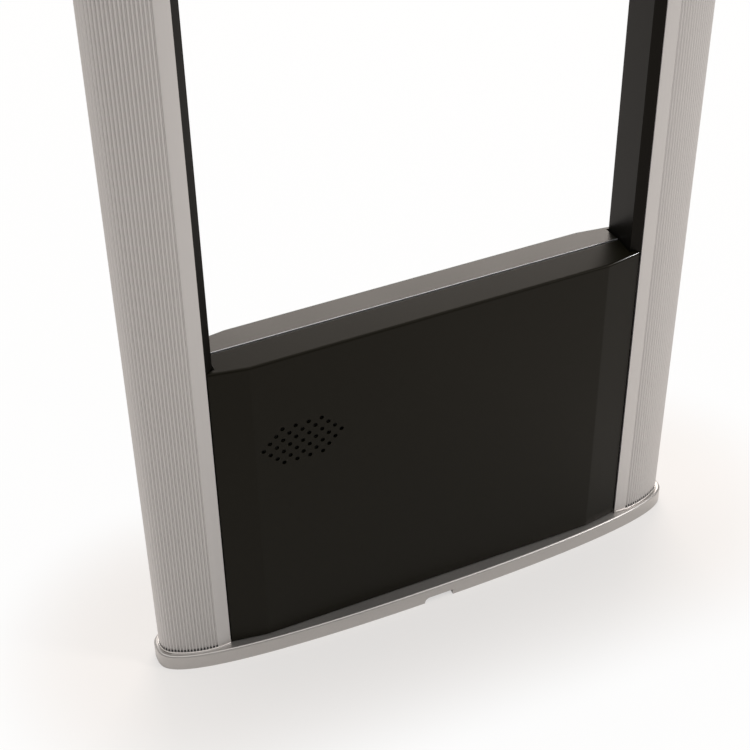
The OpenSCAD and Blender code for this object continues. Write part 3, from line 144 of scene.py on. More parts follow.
class GateColours(bpy.types.PropertyGroup):
    """Colours of the gate's finishes"""

    casting: colour("Casting", "Silver paint of the base and the cap", (0.43, 0.407, 0.39))
    alloy: colour("Alloy", "Anodised alloy of the posts", (0.474, 0.455, 0.444))
    cover: colour("Cover", "Black paint of the covers", (0.0034, 0.0031, 0.0014))
    channel: colour("Channel", "Black plastic of the antenna channels", (0.0055, 0.0050, 0.0042))
    gloss: colour("Gloss", "Tint of the gloss on the black covers and channels", (1.0, 0.89, 0.77))
    steel: colour("Steel", "Steel of the screws", (0.40, 0.40, 0.41))
    zinc: colour("Zinc", "Zinc-plated sheet", (0.55, 0.56, 0.56))
    rubber: colour("Rubber", "Black rubber", (0.012, 0.012, 0.012))
    nylon: colour("Nylon", "White nylon", (0.72, 0.70, 0.64))
    board: colour("Board", "Solder mask of the circuit boards", (0.010, 0.10, 0.045))
    copper: colour("Copper", "Tracks under the solder mask", (0.030, 0.19, 0.085))
    part: colour("Part", "Black moulded parts", (0.016, 0.016, 0.017))
    sleeve: colour("Sleeve", "Sleeve of the capacitors", (0.012, 0.020, 0.060))
    terminal: colour("Terminal", "Green terminal blocks", (0.015, 0.17, 0.055))
    status: colour("Status light", "Green status lights", (0.08, 0.55, 0.14))
    switch: colour("Switch", "Red switch mouldings", (0.32, 0.012, 0.010))
    trimmer: colour("Trimmer", "Blue trimmer body", (0.020, 0.070, 0.30))
    magnet: colour("Magnet", "Ferrite of the speaker magnet", (0.035, 0.035, 0.038))
    paper: colour("Paper", "Paper of the speaker cone", (0.030, 0.028, 0.026))
    lens: colour("Lens", "Red lens of the lamp head", (0.42, 0.012, 0.010))
    lamp: colour("Lamp", "Red lamps behind the lens", (0.546, 0.0156, 0.013))
    floor: colour("Floor", "Pale floor", (0.87, 0.84, 0.815))
    # Floor shade is the floor's colour straight on; under the lower glow beside the base it shows as a
    # painted shadow.
    floor_shade: colour("Floor shade", "Pale floor under its glow in the picture", (0.60, 0.546, 0.504))


class GateLight(bpy.types.PropertyGroup):
    """Strength of the studio light"""

    sky: number("Sky", "Strength of the even light from all round", 0.28)
    top: number("Top light", "Strength of the soft light from above", 1.35)
    rear: number("Rear light", "Strength of the soft light from behind", 0.45)
    back: number("Back light", "Power of the wide light behind the gate", 92.0, "POWER")
    side: number("Side light", "Power of the lamp at the front right", 13.0, "POWER")
    glow: share("Floor glow", "How far the floor turns white in gloss and glass", 0.33)
    # Near glow, far glow and the fade paint a shadow on the floor round the base, on top of the lamps' own
    # shadow.
    near: share("Near glow", "How far the floor turns white in the picture beside the base", 0.56)
    far: share("Far glow", "How far the floor turns white in the picture away from the base", 0.96)
    shadow_fade_start: length("Fade start", "Where the floor's fade starts, from the middle of the base", 30)
    shadow_fade_end: length("Fade end", "Where the floor's fade ends, from the middle of the base", 160)


def sizes():
    return bpy.context.scene.gate_sizes


def colours():
    return bpy.context.scene.gate_colours


def math_method(operation, reflected=False):
    """A method that adds one Math node, with the value itself as the first term or as the last."""
    def method(self, *others):
        terms = (*others, self) if reflected else (self, *others)
        return self.finish.make("ShaderNodeMath", {"operation": operation}, dict(enumerate(terms)))

    return method


class Value:
    """A shader socket that takes part in plain arithmetic. Each step adds one Math node."""

    def __init__(self, finish, socket):
        self.finish = finish
        self.socket = socket

    __add__ = math_method("ADD")
    __radd__ = math_method("ADD", True)
    __sub__ = math_method("SUBTRACT")
    __rsub__ = math_method("SUBTRACT", True)
    __mul__ = math_method("MULTIPLY")
    __rmul__ = math_method("MULTIPLY", True)
    __gt__ = math_method("GREATER_THAN")
    __lt__ = math_method("LESS_THAN")
    above = math_method("MAXIMUM")
    below = math_method("MINIMUM")
    floor = math_method("FLOOR")
    size = math_method("ABSOLUTE")
    fract = math_method("FRACT")

    def between(self, low, high):
        return (self > low) * (self < high)

    def ramp(self, low, high):
        """0 below low, 1 above high, with a smooth step between."""
        return self.finish.make("ShaderNodeMapRange", {"interpolation_type": "SMOOTHSTEP"},
                                {"Value": self, "From Min": low, "From Max": high})


class Finish:
    """One procedural finish, built node by node."""

    def __init__(self, name, holder=None):
        self.holder = holder or bpy.data.materials.new(name)
        self.holder.use_nodes = True
        self.tree = self.holder.node_tree
        self.tree.nodes.clear()

    def make(self, kind, settings=None, sockets=None, output=0):
        """Adds a node of this kind, sets it up and returns one of its outputs."""
        node = self.tree.nodes.new(kind)
        for key, value in (settings or {}).items():
            setattr(node, key, value)
        for key, value in (sockets or {}).items():
            socket = self.find(node.inputs, key)
            if isinstance(value, Value):
                self.tree.links.new(value.socket, socket)
            else:
                socket.default_value = value
        return Value(self, self.find(node.outputs, output)) if node.outputs else None

    @staticmethod
    def find(sockets, key):
        """A socket by its number, its name or its identifier."""
        if isinstance(key, int):
            return sockets[key]
        for socket in sockets:
            if key in (socket.identifier, socket.name) and socket.enabled:
                return socket
        raise KeyError(f"no socket {key}")

    def place(self, stretch=(1, 1, 1)):
        """Place on the piece in metres, stretched along its axes."""
        at = self.make("ShaderNodeTexCoord", output="Object")
        if tuple(stretch) == (1, 1, 1):
            return at
        return self.make("ShaderNodeMapping", None, {"Vector": at, "Scale": stretch})

    def axes(self, vector=None):
        """X, Y and Z of a vector, or of the place on the piece."""
        node = self.make("ShaderNodeSeparateXYZ", None, {"Vector": vector or self.place()}).socket.node
        return [Value(self, socket) for socket in node.outputs]

    def noise(self, scale, stretch=(1, 1, 1), detail=2.0):
        """Soft noise from 0 to 1 with a grain of about 1/scale metres."""
        return self.make("ShaderNodeTexNoise", None,
                         {"Vector": self.place(stretch), "Scale": scale, "Detail": detail})

    def cells(self, scale):
        """One random grey for each cell of about 1/scale metres."""
        tint = self.make("ShaderNodeTexVoronoi", None, {"Vector": self.place(), "Scale": scale}, "Color")
        return self.make("ShaderNodeSeparateColor", None, {"Color": tint})

    def mix(self, first, second, factor):
        """A colour between two colours."""
        pair = [c if isinstance(c, Value) else (*c, 1.0) for c in (first, second)]
        return self.make("ShaderNodeMix", {"data_type": "RGBA"},
                         {"Factor_Float": factor, "A_Color": pair[0], "B_Color": pair[1]}, "Result_Color")

    def tones(self, tint, dark, light, factor):
        """A tint that goes from darker to lighter."""
        return self.mix(shade(tint, dark), shade(tint, light), factor)

    def bump(self, height, depth, strength):
        """A normal from a height of 0 to 1 that stands depth millimetres high."""
        return self.make("ShaderNodeBump", None,
                         {"Height": height, "Distance": depth * MM, "Strength": strength})

    def surface(self, **sockets):
        """Closes the finish with the one surface shader. Constants are set on its own sockets."""
        named = {}
        for key, value in sockets.items():
            title = key.replace("_", " ").title().replace("Ior", "IOR")
            is_tint = title.endswith(("Color", "Tint")) and not isinstance(value, Value)
            named[title] = (*value, 1.0) if is_tint else value
        shader = self.make("ShaderNodeBsdfPrincipled", None, named)
        self.make("ShaderNodeOutputMaterial", None, {"Surface": shader})
        return self.holder


def shade(tint, factor):
    """A tint made lighter or darker."""
    return tuple(min(1.0, channel * factor) for channel in tint)


def silver_paint():
    f = Finish("silver_paint")
    tint = colours().casting
    flake = f.noise(2400, detail=1.0)
    cloud = f.noise(22)
    body = f.tones(tint, 0.90, 1.08, flake * 0.6 + cloud * 0.4)
    # The lighter band at the plinth rims of the base and the cap is a painted highlight.
    height = f.axes()[2]
    low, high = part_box("left_post")
    wide, thin = 0.35 * MM, 0.1 * MM
    painted_highlight = height.between(low.z - wide, low.z + thin) + height.between(high.z - thin, high.z + wide)
    return f.surface(base_color=f.mix(body, shade(tint, 1.95), painted_highlight), metallic=0.82,
                     roughness=0.30 + 0.10 * cloud, normal=f.bump(f.noise(900, detail=1.0), 0.03, 0.35))


def post_alloy():
    f = Finish("post_alloy")
    streak = f.noise(1.0, (1300, 1300, 5), 3.0)
    cloud = f.noise(9, (1, 1, 0.4))
    body = f.tones(colours().alloy, 0.93, 1.06, streak * 0.7 + cloud * 0.3)
    return f.surface(base_color=body, metallic=0.85, roughness=0.36 + 0.12 * streak,
                     normal=f.bump(streak, 0.02, 0.4))


def cover_paint():
    f = Finish("cover_paint")
    grain = f.noise(1500)
    cloud = f.noise(14)
    body = f.tones(colours().cover, 0.85, 1.25, grain * 0.5 + cloud * 0.5)
    x, y, z = f.axes()
    # The lighter, metallic line along the edge at the seam is a painted highlight.
    seam = y.between(0.26 * MM, 0.6 * MM) * f.noise(160, (1, 0, 0), 3.0).ramp(0.10, 0.45)
    size = sizes()
    # The lighter line along the fold of the right slanted end is a painted highlight too.
    low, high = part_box("front_cover")
    slant = high.x - size.slant
    face = (slant - x) * (size.slant_drop / size.slant) - (low.y + y.size())
    flange = high.z - (size.ridge_rise / -low.y) * y.size() - z
    corner = (flange > -0.5 * MM) * (face + flange < 0.9 * MM) * x.ramp(slant, high.x)
    painted_highlight = seam + 0.7 * corner
    return f.surface(base_color=f.mix(body, shade(colours().steel, 1.5), painted_highlight), metallic=0.8 * painted_highlight,
                     roughness=0.34 + 0.06 * cloud, specular_ior_level=0.11, specular_tint=colours().gloss,
                     normal=f.bump(grain, 0.012, 0.5))


def channel_plastic():
    f = Finish("channel_plastic")
    streak = f.noise(1.0, (900, 900, 4), 3.0)
    return f.surface(base_color=f.tones(colours().channel, 0.8, 1.3, streak), roughness=0.28 + 0.10 * streak,
                     specular_ior_level=0.08, specular_tint=colours().gloss,
                     normal=f.bump(streak, 0.015, 0.4))


def screw_steel():
    f = Finish("screw_steel")
    grain = f.noise(2200, detail=3.0)
    cloud = f.noise(160)
    body = f.tones(colours().steel, 0.75, 1.12, grain * 0.4 + cloud * 0.6)
    return f.surface(base_color=body, metallic=0.95, roughness=0.28 + 0.16 * cloud,
                     normal=f.bump(grain, 0.01, 0.5))


def zinc_sheet():
    f = Finish("zinc_sheet")
    spangle = f.cells(160)
    fine = f.noise(1100)
    return f.surface(base_color=f.tones(colours().zinc, 0.80, 1.08, spangle * 0.7 + fine * 0.3), metallic=0.9,
                     roughness=0.30 + 0.16 * spangle, normal=f.bump(fine, 0.01, 0.4))


def capacitor_sleeve():
    f = Finish("capacitor_sleeve")
    ring = f.noise(1.0, (40, 1400, 40))
    return f.surface(base_color=f.tones(colours().sleeve, 0.8, 1.4, ring), roughness=0.22 + 0.10 * ring,
                     coat_weight=0.4)


def sink_alloy():
    f = Finish("sink_alloy")
    streak = f.noise(1.0, (1500, 1500, 12))
    return f.surface(base_color=f.tones(colours().alloy, 0.8, 1.15, streak), metallic=0.95,
                     roughness=0.30 + 0.14 * streak)


def board_green():
    f = Finish("board_green")
    x, _, z = f.axes()
    per_pitch = 1 / (2.54 * MM)

    def chance(first, second, layer):
        seed = f.make("ShaderNodeCombineXYZ", None, {"X": first, "Y": second, "Z": layer})
        return f.make("ShaderNodeTexWhiteNoise", {"noise_dimensions": "3D"}, {"Vector": seed})

    row, lane = (z * per_pitch).floor(), (x * (per_pitch / 6)).floor()
    column, stack = (x * per_pitch).floor(), (z * (per_pitch / 5)).floor()
    track = ((z * per_pitch).fract() < 0.34) * (chance(row, lane, 0.0) > 0.45)
    riser = ((x * per_pitch).fract() < 0.30) * (chance(stack, column, 7.0) > 0.72)
    copper = (track + riser) > 0.5
    weave = f.noise(900)
    body = f.mix(colours().board, colours().copper, copper)
    return f.surface(base_color=body, roughness=0.26 + 0.12 * weave,
                     normal=f.bump(copper * 0.8 + weave * 0.2, 0.03, 0.6))


def cone_paper():
    f = Finish("cone_paper")
    fibre = f.noise(520, detail=4.0)
    return f.surface(base_color=f.tones(colours().paper, 0.7, 1.5, fibre), roughness=0.80 + 0.15 * fibre,
                     specular_ior_level=0.25, normal=f.bump(fibre, 0.10, 0.7))


def lens_red():
    f = Finish("lens_red")
    prism_way = (f.axes()[0] * 400.0).fract()
    fold = (prism_way - 0.5) * (prism_way - 0.5) * 4.0
    cloud = f.noise(35)
    return f.surface(base_color=f.tones(colours().lens, 0.62, 1.25, fold * 0.7 + cloud * 0.3),
                     roughness=0.10 + 0.08 * cloud, coat_weight=0.5, normal=f.bump(fold, 0.12, 0.5))


# Colour, roughness, grains to the metre, depth of the grain in millimetres and gloss of each moulding
MOULDED = {
    "rubber_black": ("rubber", 0.62, 1100, 0.03, 0.3),
    "nylon_white": ("nylon", 0.42, 1400, 0.02, 0.45),
    "part_black": ("part", 0.42, 1900, 0.012, 0.45),
    "terminal_green": ("terminal", 0.36, 1400, 0.02, 0.45),
    "switch_red": ("switch", 0.30, 1400, 0.02, 0.45),
    "trimmer_blue": ("trimmer", 0.32, 1400, 0.02, 0.45),
    "status_green": ("status", 0.16, 700, 0.004, 0.6),
    "speaker_steel": ("part", 0.36, 900, 0.02, 0.45),
    "magnet_dark": ("magnet", 0.55, 2600, 0.03, 0.45),
    "cable_black": ("rubber", 0.34, 1300, 0.015, 0.5),
    "lead_white": ("nylon", 0.36, 1200, 0.012, 0.45),
    "lamp_red": ("lamp", 0.16, 700, 0.004, 0.6),
}


def moulded(name, tint, roughness, grain_scale, depth, gloss):
    """A moulded plastic or rubber with a fine eroded grain."""
    f = Finish(name)
    grain = f.noise(grain_scale)
    body = f.tones(getattr(colours(), tint), 0.82, 1.16, grain * 0.5 + f.noise(60) * 0.5)
    return f.surface(base_color=body, roughness=roughness + 0.10 * grain, specular_ior_level=gloss,
                     normal=f.bump(grain, depth, 0.6))


RECIPES = {
    "cast_silver": silver_paint, "post_alloy": post_alloy, "channel_plastic": channel_plastic,
    "cover_black": cover_paint, "screw_steel": screw_steel, "zinc_sheet": zinc_sheet,
    "board_green": board_green, "capacitor_sleeve": capacitor_sleeve, "sink_alloy": sink_alloy,
    "cone_paper": cone_paper, "lens_red": lens_red,
}
READY = {}


def finish(slot):
    """The finish of a material slot, made once."""
    if slot not in READY:
        READY[slot] = moulded(slot, *MOULDED[slot]) if slot in MOULDED else RECIPES[slot]()
    return READY[slot]


def placed(name, data):
    """A new object in the scene."""
    item = bpy.data.objects.new(name, data)
    bpy.context.scene.collection.objects.link(item)
    return item


def as_mesh(name, bm, crease=CREASE):
    """Turns a bmesh into a mesh with smooth faces and sharp edges above the crease angle."""
    bmesh.ops.recalc_face_normals(bm, faces=bm.faces)
    mesh = bpy.data.meshes.new(name)
    bm.to_mesh(mesh)
    bm.free()
    mesh.shade_smooth()
    mesh.set_sharp_from_angle(angle=math.radians(crease))
    return mesh


def applied(mesh, kind, **settings):
    """A copy of a mesh with one modifier applied."""
    whole = placed("whole", mesh)
    step = whole.modifiers.new("step", kind)
    for key, value in settings.items():
        setattr(step, key, value)
    graph = bpy.context.evaluated_depsgraph_get()
    made = bpy.data.meshes.new_from_object(whole.evaluated_get(graph))
    made.name = mesh.name
    bpy.data.objects.remove(whole)
    return made


def stand_in(name, bm, node, crease=CREASE, added=None):
    """Places a piece that rides with a node's body. It stands for the node, or is added in another slot."""
    piece = placed(name, applied(as_mesh(name, bm, crease), "WEIGHTED_NORMAL", keep_sharp=True))
    slot = added or SLOT_OF[node]
    piece.data.materials.clear()
    piece.data.materials.append(finish(slot))
    if not added:
        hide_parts(node)
    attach(piece, frame["nodes"][node]["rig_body"])


def weld(bm):
    """Joins the points that lie on each other."""
    bmesh.ops.remove_doubles(bm, verts=bm.verts, dist=WELD)


def cut(bm, cutter):
    """Cuts one closed form out of another."""
    tool = placed("tool", as_mesh("tool", cutter))
    made = applied(as_mesh("form", bm), "BOOLEAN", operation="DIFFERENCE", solver="EXACT", object=tool)
    bpy.data.objects.remove(tool)
    left = bmesh.new()
    left.from_mesh(made)
    weld(left)
    bmesh.ops.dissolve_degenerate(left, edges=left.edges, dist=WELD)
    return left


def loft(bm, rings):
    """Skins a row of rings of points and closes both ends."""
    made = [[bm.verts.new(point) for point in ring] for ring in rings]
    count = len(rings[0])
    for low, high in zip(made, made[1:]):
        for i in range(count):
            j = (i + 1) % count
            bm.faces.new((low[i], low[j], high[j], high[i]))
    bm.faces.new(made[0])
    bm.faces.new(made[-1])


def circle(at, side, other, radius, count):
    """Points of a circle in the plane of two directions."""
    turns = [2 * math.pi * k / count for k in range(count)]
    return [at + radius * (math.cos(a) * side + math.sin(a) * other) for a in turns]


def bend(first, corner, last, steps):
    """Points of a soft corner from one point to another."""
    ways = [k / steps for k in range(steps + 1)]
    return [(1 - t) ** 2 * first + 2 * t * (1 - t) * corner + t * t * last for t in ways]


def tube(bm, points, radius, sides=16):
    """A round tube with closed ends along points."""
    way = [Vector(point) for point in points]
    steps = [(b - a).normalized() for a, b in zip(way, way[1:])]
    aims = [steps[0]] + [(a + b).normalized() for a, b in zip(steps, steps[1:])] + [steps[-1]]
    side = aims[0].orthogonal().normalized()
    rings = []
    for at, aim in zip(way, aims):
        side = (side - aim * side.dot(aim)).normalized()
        rings.append(circle(at, side, aim.cross(side), radius, sides))
    loft(bm, rings)


def rod(bm, at, aim, radius, start, end, sides=24):
    """A closed cylinder along an aim, from start to end measured from a place."""
    tube(bm, [Vector(at) + aim * start, Vector(at) + aim * end], radius, sides)


def eased(points, reach, steps=8):
    """Points of a route in millimetres with its corners eased, in metres."""
    way = [Vector(point) for point in points]
    out = [way[0]]
    for before, corner, after in zip(way, way[1:], way[2:]):
        first = corner + reach * (before - corner).normalized()
        last = corner + reach * (after - corner).normalized()
        out += bend(first, corner, last, steps)
    out.append(way[-1])
    return [point * MM for point in out]


def whole_form(node):
    """A welded copy of a node's form."""
    bm = bmesh.new()
    bm.from_mesh(frame["nodes"][node].data)
    weld(bm)
    return bm


def softened(node, wanted, width, segments):
    """A copy of a node's form with flat faces made whole and the wanted edges rounded."""
    bm = whole_form(node)
    flat = math.radians(0.15)
    bmesh.ops.dissolve_limit(bm, angle_limit=flat, verts=bm.verts, edges=bm.edges)
    round_edges(bm, wanted, width, segments)
    return bm


def round_edges(bm, wanted, width, segments):
    """Rounds the convex sharp edges that are wanted."""
    chosen = [edge for edge in bm.edges if is_corner(edge) and wanted(edge)]
    if chosen:
        bmesh.ops.bevel(bm, geom=chosen, offset=width, offset_type="OFFSET", segments=segments, profile=0.5,
                        affect="EDGES", clamp_overlap=True)


def is_corner(edge, angle=40.0):
    """Whether an edge is a convex corner of the form."""
    return len(edge.link_faces) == 2 and edge.is_convex and edge.calc_face_angle(0.0) > math.radians(angle)


def straight(least):
    """A test for edges at least this long, in millimetres."""
    return lambda edge: edge.calc_length() >= least * MM


def corners(points):
    """Lowest and highest corner of a group of points."""
    low = Vector([min(point[i] for point in points) for i in range(3)])
    high = Vector([max(point[i] for point in points) for i in range(3)])
    return low, high


def centre(low, high, depth):
    """Middle of a box in width and height, at a given depth."""
    return Vector(((low.x + high.x) / 2, depth, (low.z + high.z) / 2))


def solids(node):
    """The points of each separate solid of a node, from left to right."""
    bm = whole_form(node)
    waiting = set(bm.verts)
    groups = []
    while waiting:
        reached = [waiting.pop()]
        group = []
        while reached:
            vert = reached.pop()
            group.append(vert.co.copy())
            for edge in vert.link_edges:
                other = edge.other_vert(vert)
                if other in waiting:
                    waiting.remove(other)
                    reached.append(other)
        groups.append(group)
    bm.free()
    return sorted(groups, key=lambda group: tuple(round(value, 5) for value in corners(group)[0]))


def boxes(node):
    """Lowest and highest corner of each separate solid of a node."""
    return [corners(points) for points in solids(node)]


class Screw:
    """A screw's axis, seat, head and shank, read from the points of its solid."""

    def __init__(self, points):
        low, high = corners(points)
        middle = (low + high) / 2
        spans = high - low
        self.axis = axis = max(range(3), key=lambda i: abs(spans[i] - sorted(spans)[1]))

        def reach(point):
            away = point - middle
            away[axis] = 0.0
            return away.length

        self.head = max(reach(point) for point in points)
        rim = [point[axis] for point in points if reach(point) > RIM_SHARE * self.head]
        self.outward = 1 if max(rim) > high[axis] - LEVEL else -1
        tail = low[axis] if self.outward > 0 else high[axis]
        seat = min(rim) if self.outward > 0 else max(rim)
        self.seat = middle.copy()
        self.seat[axis] = seat
        self.aim = Vector([self.outward if i == axis else 0 for i in range(3)])
        self.tall = max(rim) - min(rim)
        self.shank = max(reach(point) for point in points if abs(point[axis] - tail) < LEVEL)
        self.long = abs(seat - tail)


def brick(bm, low, high):
    """A block between two corners."""
    for vert in bmesh.ops.create_cube(bm, size=1.0)["verts"]:
        vert.co = Vector([(a + b) / 2 + c * (b - a) for a, b, c in zip(low, high, vert.co)])


def across(aim):
    """Two directions across an aim."""
    side = aim.orthogonal().normalized()
    return side, aim.cross(side)


def prism(bm, outline, at, aim, near, far, taper=1.0):
    """A form along an aim: the outline gives its points across, and the far end is scaled by taper."""
    side, other = across(aim)
    loft(bm, [[at + aim * along + scale * (u * side + v * other) for u, v in outline]
              for along, scale in ((near, 1.0), (far, taper))])


def spun(outline, angle):
    """An outline turned about its middle."""
    turn = Matrix.Rotation(angle, 2)
    return [turn @ Vector(point) for point in outline]


def cross(wide, thin, angle):
    """Outline of a cross with arms of a half length and a half width."""
    arm = [(wide, -thin), (wide, thin), (thin, thin)]
    return [point for k in range(4) for point in spun(arm, angle + k * math.pi / 2)]


def scaled(profile, radius, tall):
    """A profile given in parts of a radius and of a height."""
    return [(radius * r, tall * h) for r, h in profile]


def lathe(bm, profile, at, aim, sides=32):
    """A turned form: the profile gives radius and distance along the aim from a place."""
    side, other = across(aim)
    before = None
    for radius, along in profile:
        points = circle(at + aim * along, side, other, radius, sides if radius > 0 else 1)
        ring = [bm.verts.new(point) for point in points]
        if before:
            for i in range(sides):
                j = (i + 1) % sides
                around = ((before, i), (before, j), (ring, j), (ring, i))
                face = list(dict.fromkeys(verts[k % len(verts)] for verts, k in around))
                if len(face) > 2:
                    bm.faces.new(face)
        before = ring


def dome(radius, along, steps=6):
    """Profile points of a half ball that ends a turned form."""
    turns = [math.pi / 2 * k / steps for k in range(steps)]
    return [(radius * math.cos(a), along + radius * math.sin(a)) for a in turns] + [(0, along + radius)]


class GATE_OT_stage(bpy.types.Operator):
    """Builds the floor, the light and the camera"""

    bl_idname = "gate.stage"
    bl_label = "Stage"

    FLOOR_HALF = 15.0
    SKY_TINT = (1.0, 0.99, 0.975, 1.0)
    LAMP_AIM = Vector((0.0, 0.0, 0.25))
    BACK_LIGHT = ((1.42, 2.64, 1.52), (2.4, 1.30), (1.0, 0.93, 0.88))
    SIDE_LIGHT = ((1.35, -1.1, 1.35), (0.32, 0.32), (1.0, 1.0, 1.0))
    EYE = (-0.3753, -0.7639, 0.8544)
    TURNS = ((-0.422, "Z"), (-0.6707, "X"), (0.0148, "Y"), (math.pi / 2, "X"))
    FOCAL_LENGTH = 80.16
    SENSOR = 36.0
    NEAREST = 0.02

    def execute(self, context):
        light = context.scene.gate_light
        bm = bmesh.new()
        bmesh.ops.create_grid(bm, x_segments=1, y_segments=1, size=self.FLOOR_HALF)
        floor = placed("floor", as_mesh("floor", bm))
        floor.data.materials.append(self.floor_finish(light))
        context.scene.world = self.sky(light)
        self.lamp("back_light", light.back, *self.BACK_LIGHT)
        self.lamp("side_light", light.side, *self.SIDE_LIGHT)
        context.scene.camera = self.camera()
        context.scene.view_settings.view_transform = "Standard"
        return {"FINISHED"}

    @staticmethod
    def in_view(f):
        """What the camera sees straight on, and what it sees in gloss or glass as well, from 0 to 1."""
        rays = f.make("ShaderNodeLightPath").socket.node.outputs
        straight_on = Value(f, rays["Is Camera Ray"])
        seen = straight_on + Value(f, rays["Is Glossy Ray"]) + Value(f, rays["Is Transmission Ray"])
        return straight_on, seen.below(1.0)

    def floor_finish(self, light):
        """A pale floor that turns white away from the base, with less glow beside the base: a painted shadow
        round the base on top of the lamps' own shadow.
        """
        f = Finish("pale_floor")
        straight_on, seen = self.in_view(f)
        body = f.tones(colours().floor, 0.99, 1.01, f.noise(0.8))
        paint = f.make("ShaderNodeBsdfPrincipled", None, {
            "Base Color": f.mix(body, colours().floor_shade, straight_on),
            "Roughness": 0.9,
            "Specular IOR Level": 0.1,
        })
        white = f.make("ShaderNodeEmission", None, {"Strength": 1.0})
        x, y, _ = f.axes()
        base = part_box("base_casting")[1]
        past = (x.size() - (base.x - base.y)).above(0.0)
        # Less glow beside the base than away from it: a painted shadow round the base.
        away = (past * past + y * y).ramp(light.shadow_fade_start ** 2, light.shadow_fade_end ** 2)
        painted_shadow_glow = light.near + (light.far - light.near) * away
        glow = (seen - straight_on) * light.glow + straight_on * painted_shadow_glow
        both = f.make("ShaderNodeMixShader", None, {0: glow, 1: paint, 2: white})
        f.make("ShaderNodeOutputMaterial", None, {"Surface": both})
        return f.holder

    def sky(self, light):
        """Soft light from all round, from above and from behind, white where the camera sees it."""
        f = Finish("studio", bpy.data.worlds.new("studio"))
        _, y, z = f.axes(f.make("ShaderNodeTexCoord", output="Generated"))
        lit = light.sky + light.top * z.ramp(0.60, 0.92) + light.rear * y.ramp(0.1, 0.8)
        straight_on = self.in_view(f)[0]
        strength = lit * (1 - straight_on) + straight_on
        glow = f.make("ShaderNodeBackground", None, {"Color": self.SKY_TINT, "Strength": strength})
        f.make("ShaderNodeOutputWorld", None, {"Surface": glow})
        return f.holder

    def lamp(self, name, power, place, size, tint):
        """A wide lamp that shines at the housing and stays out of the picture."""
        data = bpy.data.lights.new(name, "AREA")
        data.shape = "RECTANGLE"
        data.size, data.size_y = size
        data.energy = power
        data.color = tint
        lamp = placed(name, data)
        lamp.location = place
        lamp.rotation_euler = (self.LAMP_AIM - Vector(place)).to_track_quat("-Z", "Y").to_euler()
        lamp.visible_camera = False

    def camera(self):
        """The camera at the photograph's place."""
        data = bpy.data.cameras.new("camera")
        data.sensor_width = self.SENSOR
        data.lens = self.FOCAL_LENGTH
        data.clip_start = self.NEAREST
        camera = placed("camera", data)
        place = Matrix.Translation(self.EYE)
        for angle, axis in self.TURNS:
            place = place @ Matrix.Rotation(angle, 4, axis)
        camera.matrix_world = place
        return camera


class GATE_OT_posts(bpy.types.Operator):
    """Builds the two ribbed posts and the dark rubber fills in the ends of their grooves, a painted shade at
    the groove ends
    """

    bl_idname = "gate.posts"
    bl_label = "Posts"

    CREASE = 50.0
    EDGE_STEPS = 5
    STRIP_STEPS = 8
    CAVITY_STEPS = 30
    RIB_SHARPNESS = 3.2
    PAINTED_GROOVE_SHADE_DEPTH = 1.2

    def execute(self, context):
        seal = sizes().seal
        for side, node in ((-1, "left_post"), (1, "right_post")):
            low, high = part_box(node)
            inner = min(abs(low.x), abs(high.x))
            section, cells = self.section(high.x - low.x, high.y)
            post, rubber = bmesh.new(), bmesh.new()
            self.extrude(post, section, side, inner, low.z, high.z)
            # Dark fills in the ends of the grooves: painted shade where the grooves meet the castings.
            for foot in (low.z, high.z - seal):
                for cell in cells:
                    self.extrude(rubber, cell, side, inner, foot, foot + seal)
            stand_in(node + "_ribbed", post, node, self.CREASE)
            stand_in(node + "_seals", rubber, node, self.CREASE, added="rubber_black")
        return {"FINISHED"}

    @staticmethod
    def extrude(bm, section, side, inner, low, high):
        """Runs a section up from one height to another."""
        loft(bm, [[(side * (inner + u), v, z) for u, v in section] for z in (low, high)])

    def section(self, width, half):
        """Outline of the extrusion, u out from its inner edge and v its depth, and the cells of the dark
        fills in its grooves, a painted shade.
        """
        size = sizes()
        nose, crest, strip, edge = size.post_nose, size.post_crest, size.post_smooth, size.post_edge
        nose_u = width - nose
        flank = ((nose_u - crest) ** 2 + half ** 2 - nose ** 2) / (2 * (half - nose))
        first = -math.asin(crest / flank)
        turn = math.atan2(nose_u - crest, flank - half)
        flank_length = flank * (turn - first)
        whole = flank_length + nose * (math.pi / 2 - turn)

        def skin(s, dip):
            if s < flank_length:
                angle, radius = first + s / flank, flank - dip
                return (crest + radius * math.sin(angle), half - flank + radius * math.cos(angle))
            angle, radius = turn + (s - flank_length) / nose, nose - dip
            return (nose_u + radius * math.sin(angle), radius * math.cos(angle))

        def groove(phase):
            return size.rib_depth * abs(math.sin(math.pi * phase)) ** self.RIB_SHARPNESS

        count = int((whole - strip) / size.rib_pitch)
        pitch = (whole - strip) / count
        corner = [Vector(skin(*at)) for at in ((0, edge), (0, 0), (edge, 0))]
        outer = [tuple(point) for point in bend(*corner, self.EDGE_STEPS)]
        outer += [skin(edge + (strip - edge) * k / self.STRIP_STEPS, 0) for k in range(1, self.STRIP_STEPS)]
        for k in range(count * size.rib_steps + 1):
            phase = k / size.rib_steps
            outer.append(skin(strip + phase * pitch, groove(phase)))
        cells = []
        for rib in range(count):
            phases = [rib + k / size.rib_steps for k in range(size.rib_steps + 1)]
            phases = [phase for phase in phases if groove(phase) > self.PAINTED_GROOVE_SHADE_DEPTH * size.painted_groove_shade_inset]
            cell = [skin(strip + phase * pitch, size.painted_groove_shade_inset) for phase in phases]
            cell += [skin(strip + phase * pitch, groove(phase)) for phase in phases[::-1]]
            cells += [cell, [(u, -v) for u, v in cell]]
        cavity = [skin(whole * k / self.CAVITY_STEPS, size.post_wall) for k in range(self.CAVITY_STEPS + 1)]
        outer += [(u, -v) for u, v in outer[-2::-1]]
        cavity += [(u, -v) for u, v in cavity[-2::-1]]
        return outer + cavity[::-1], cells


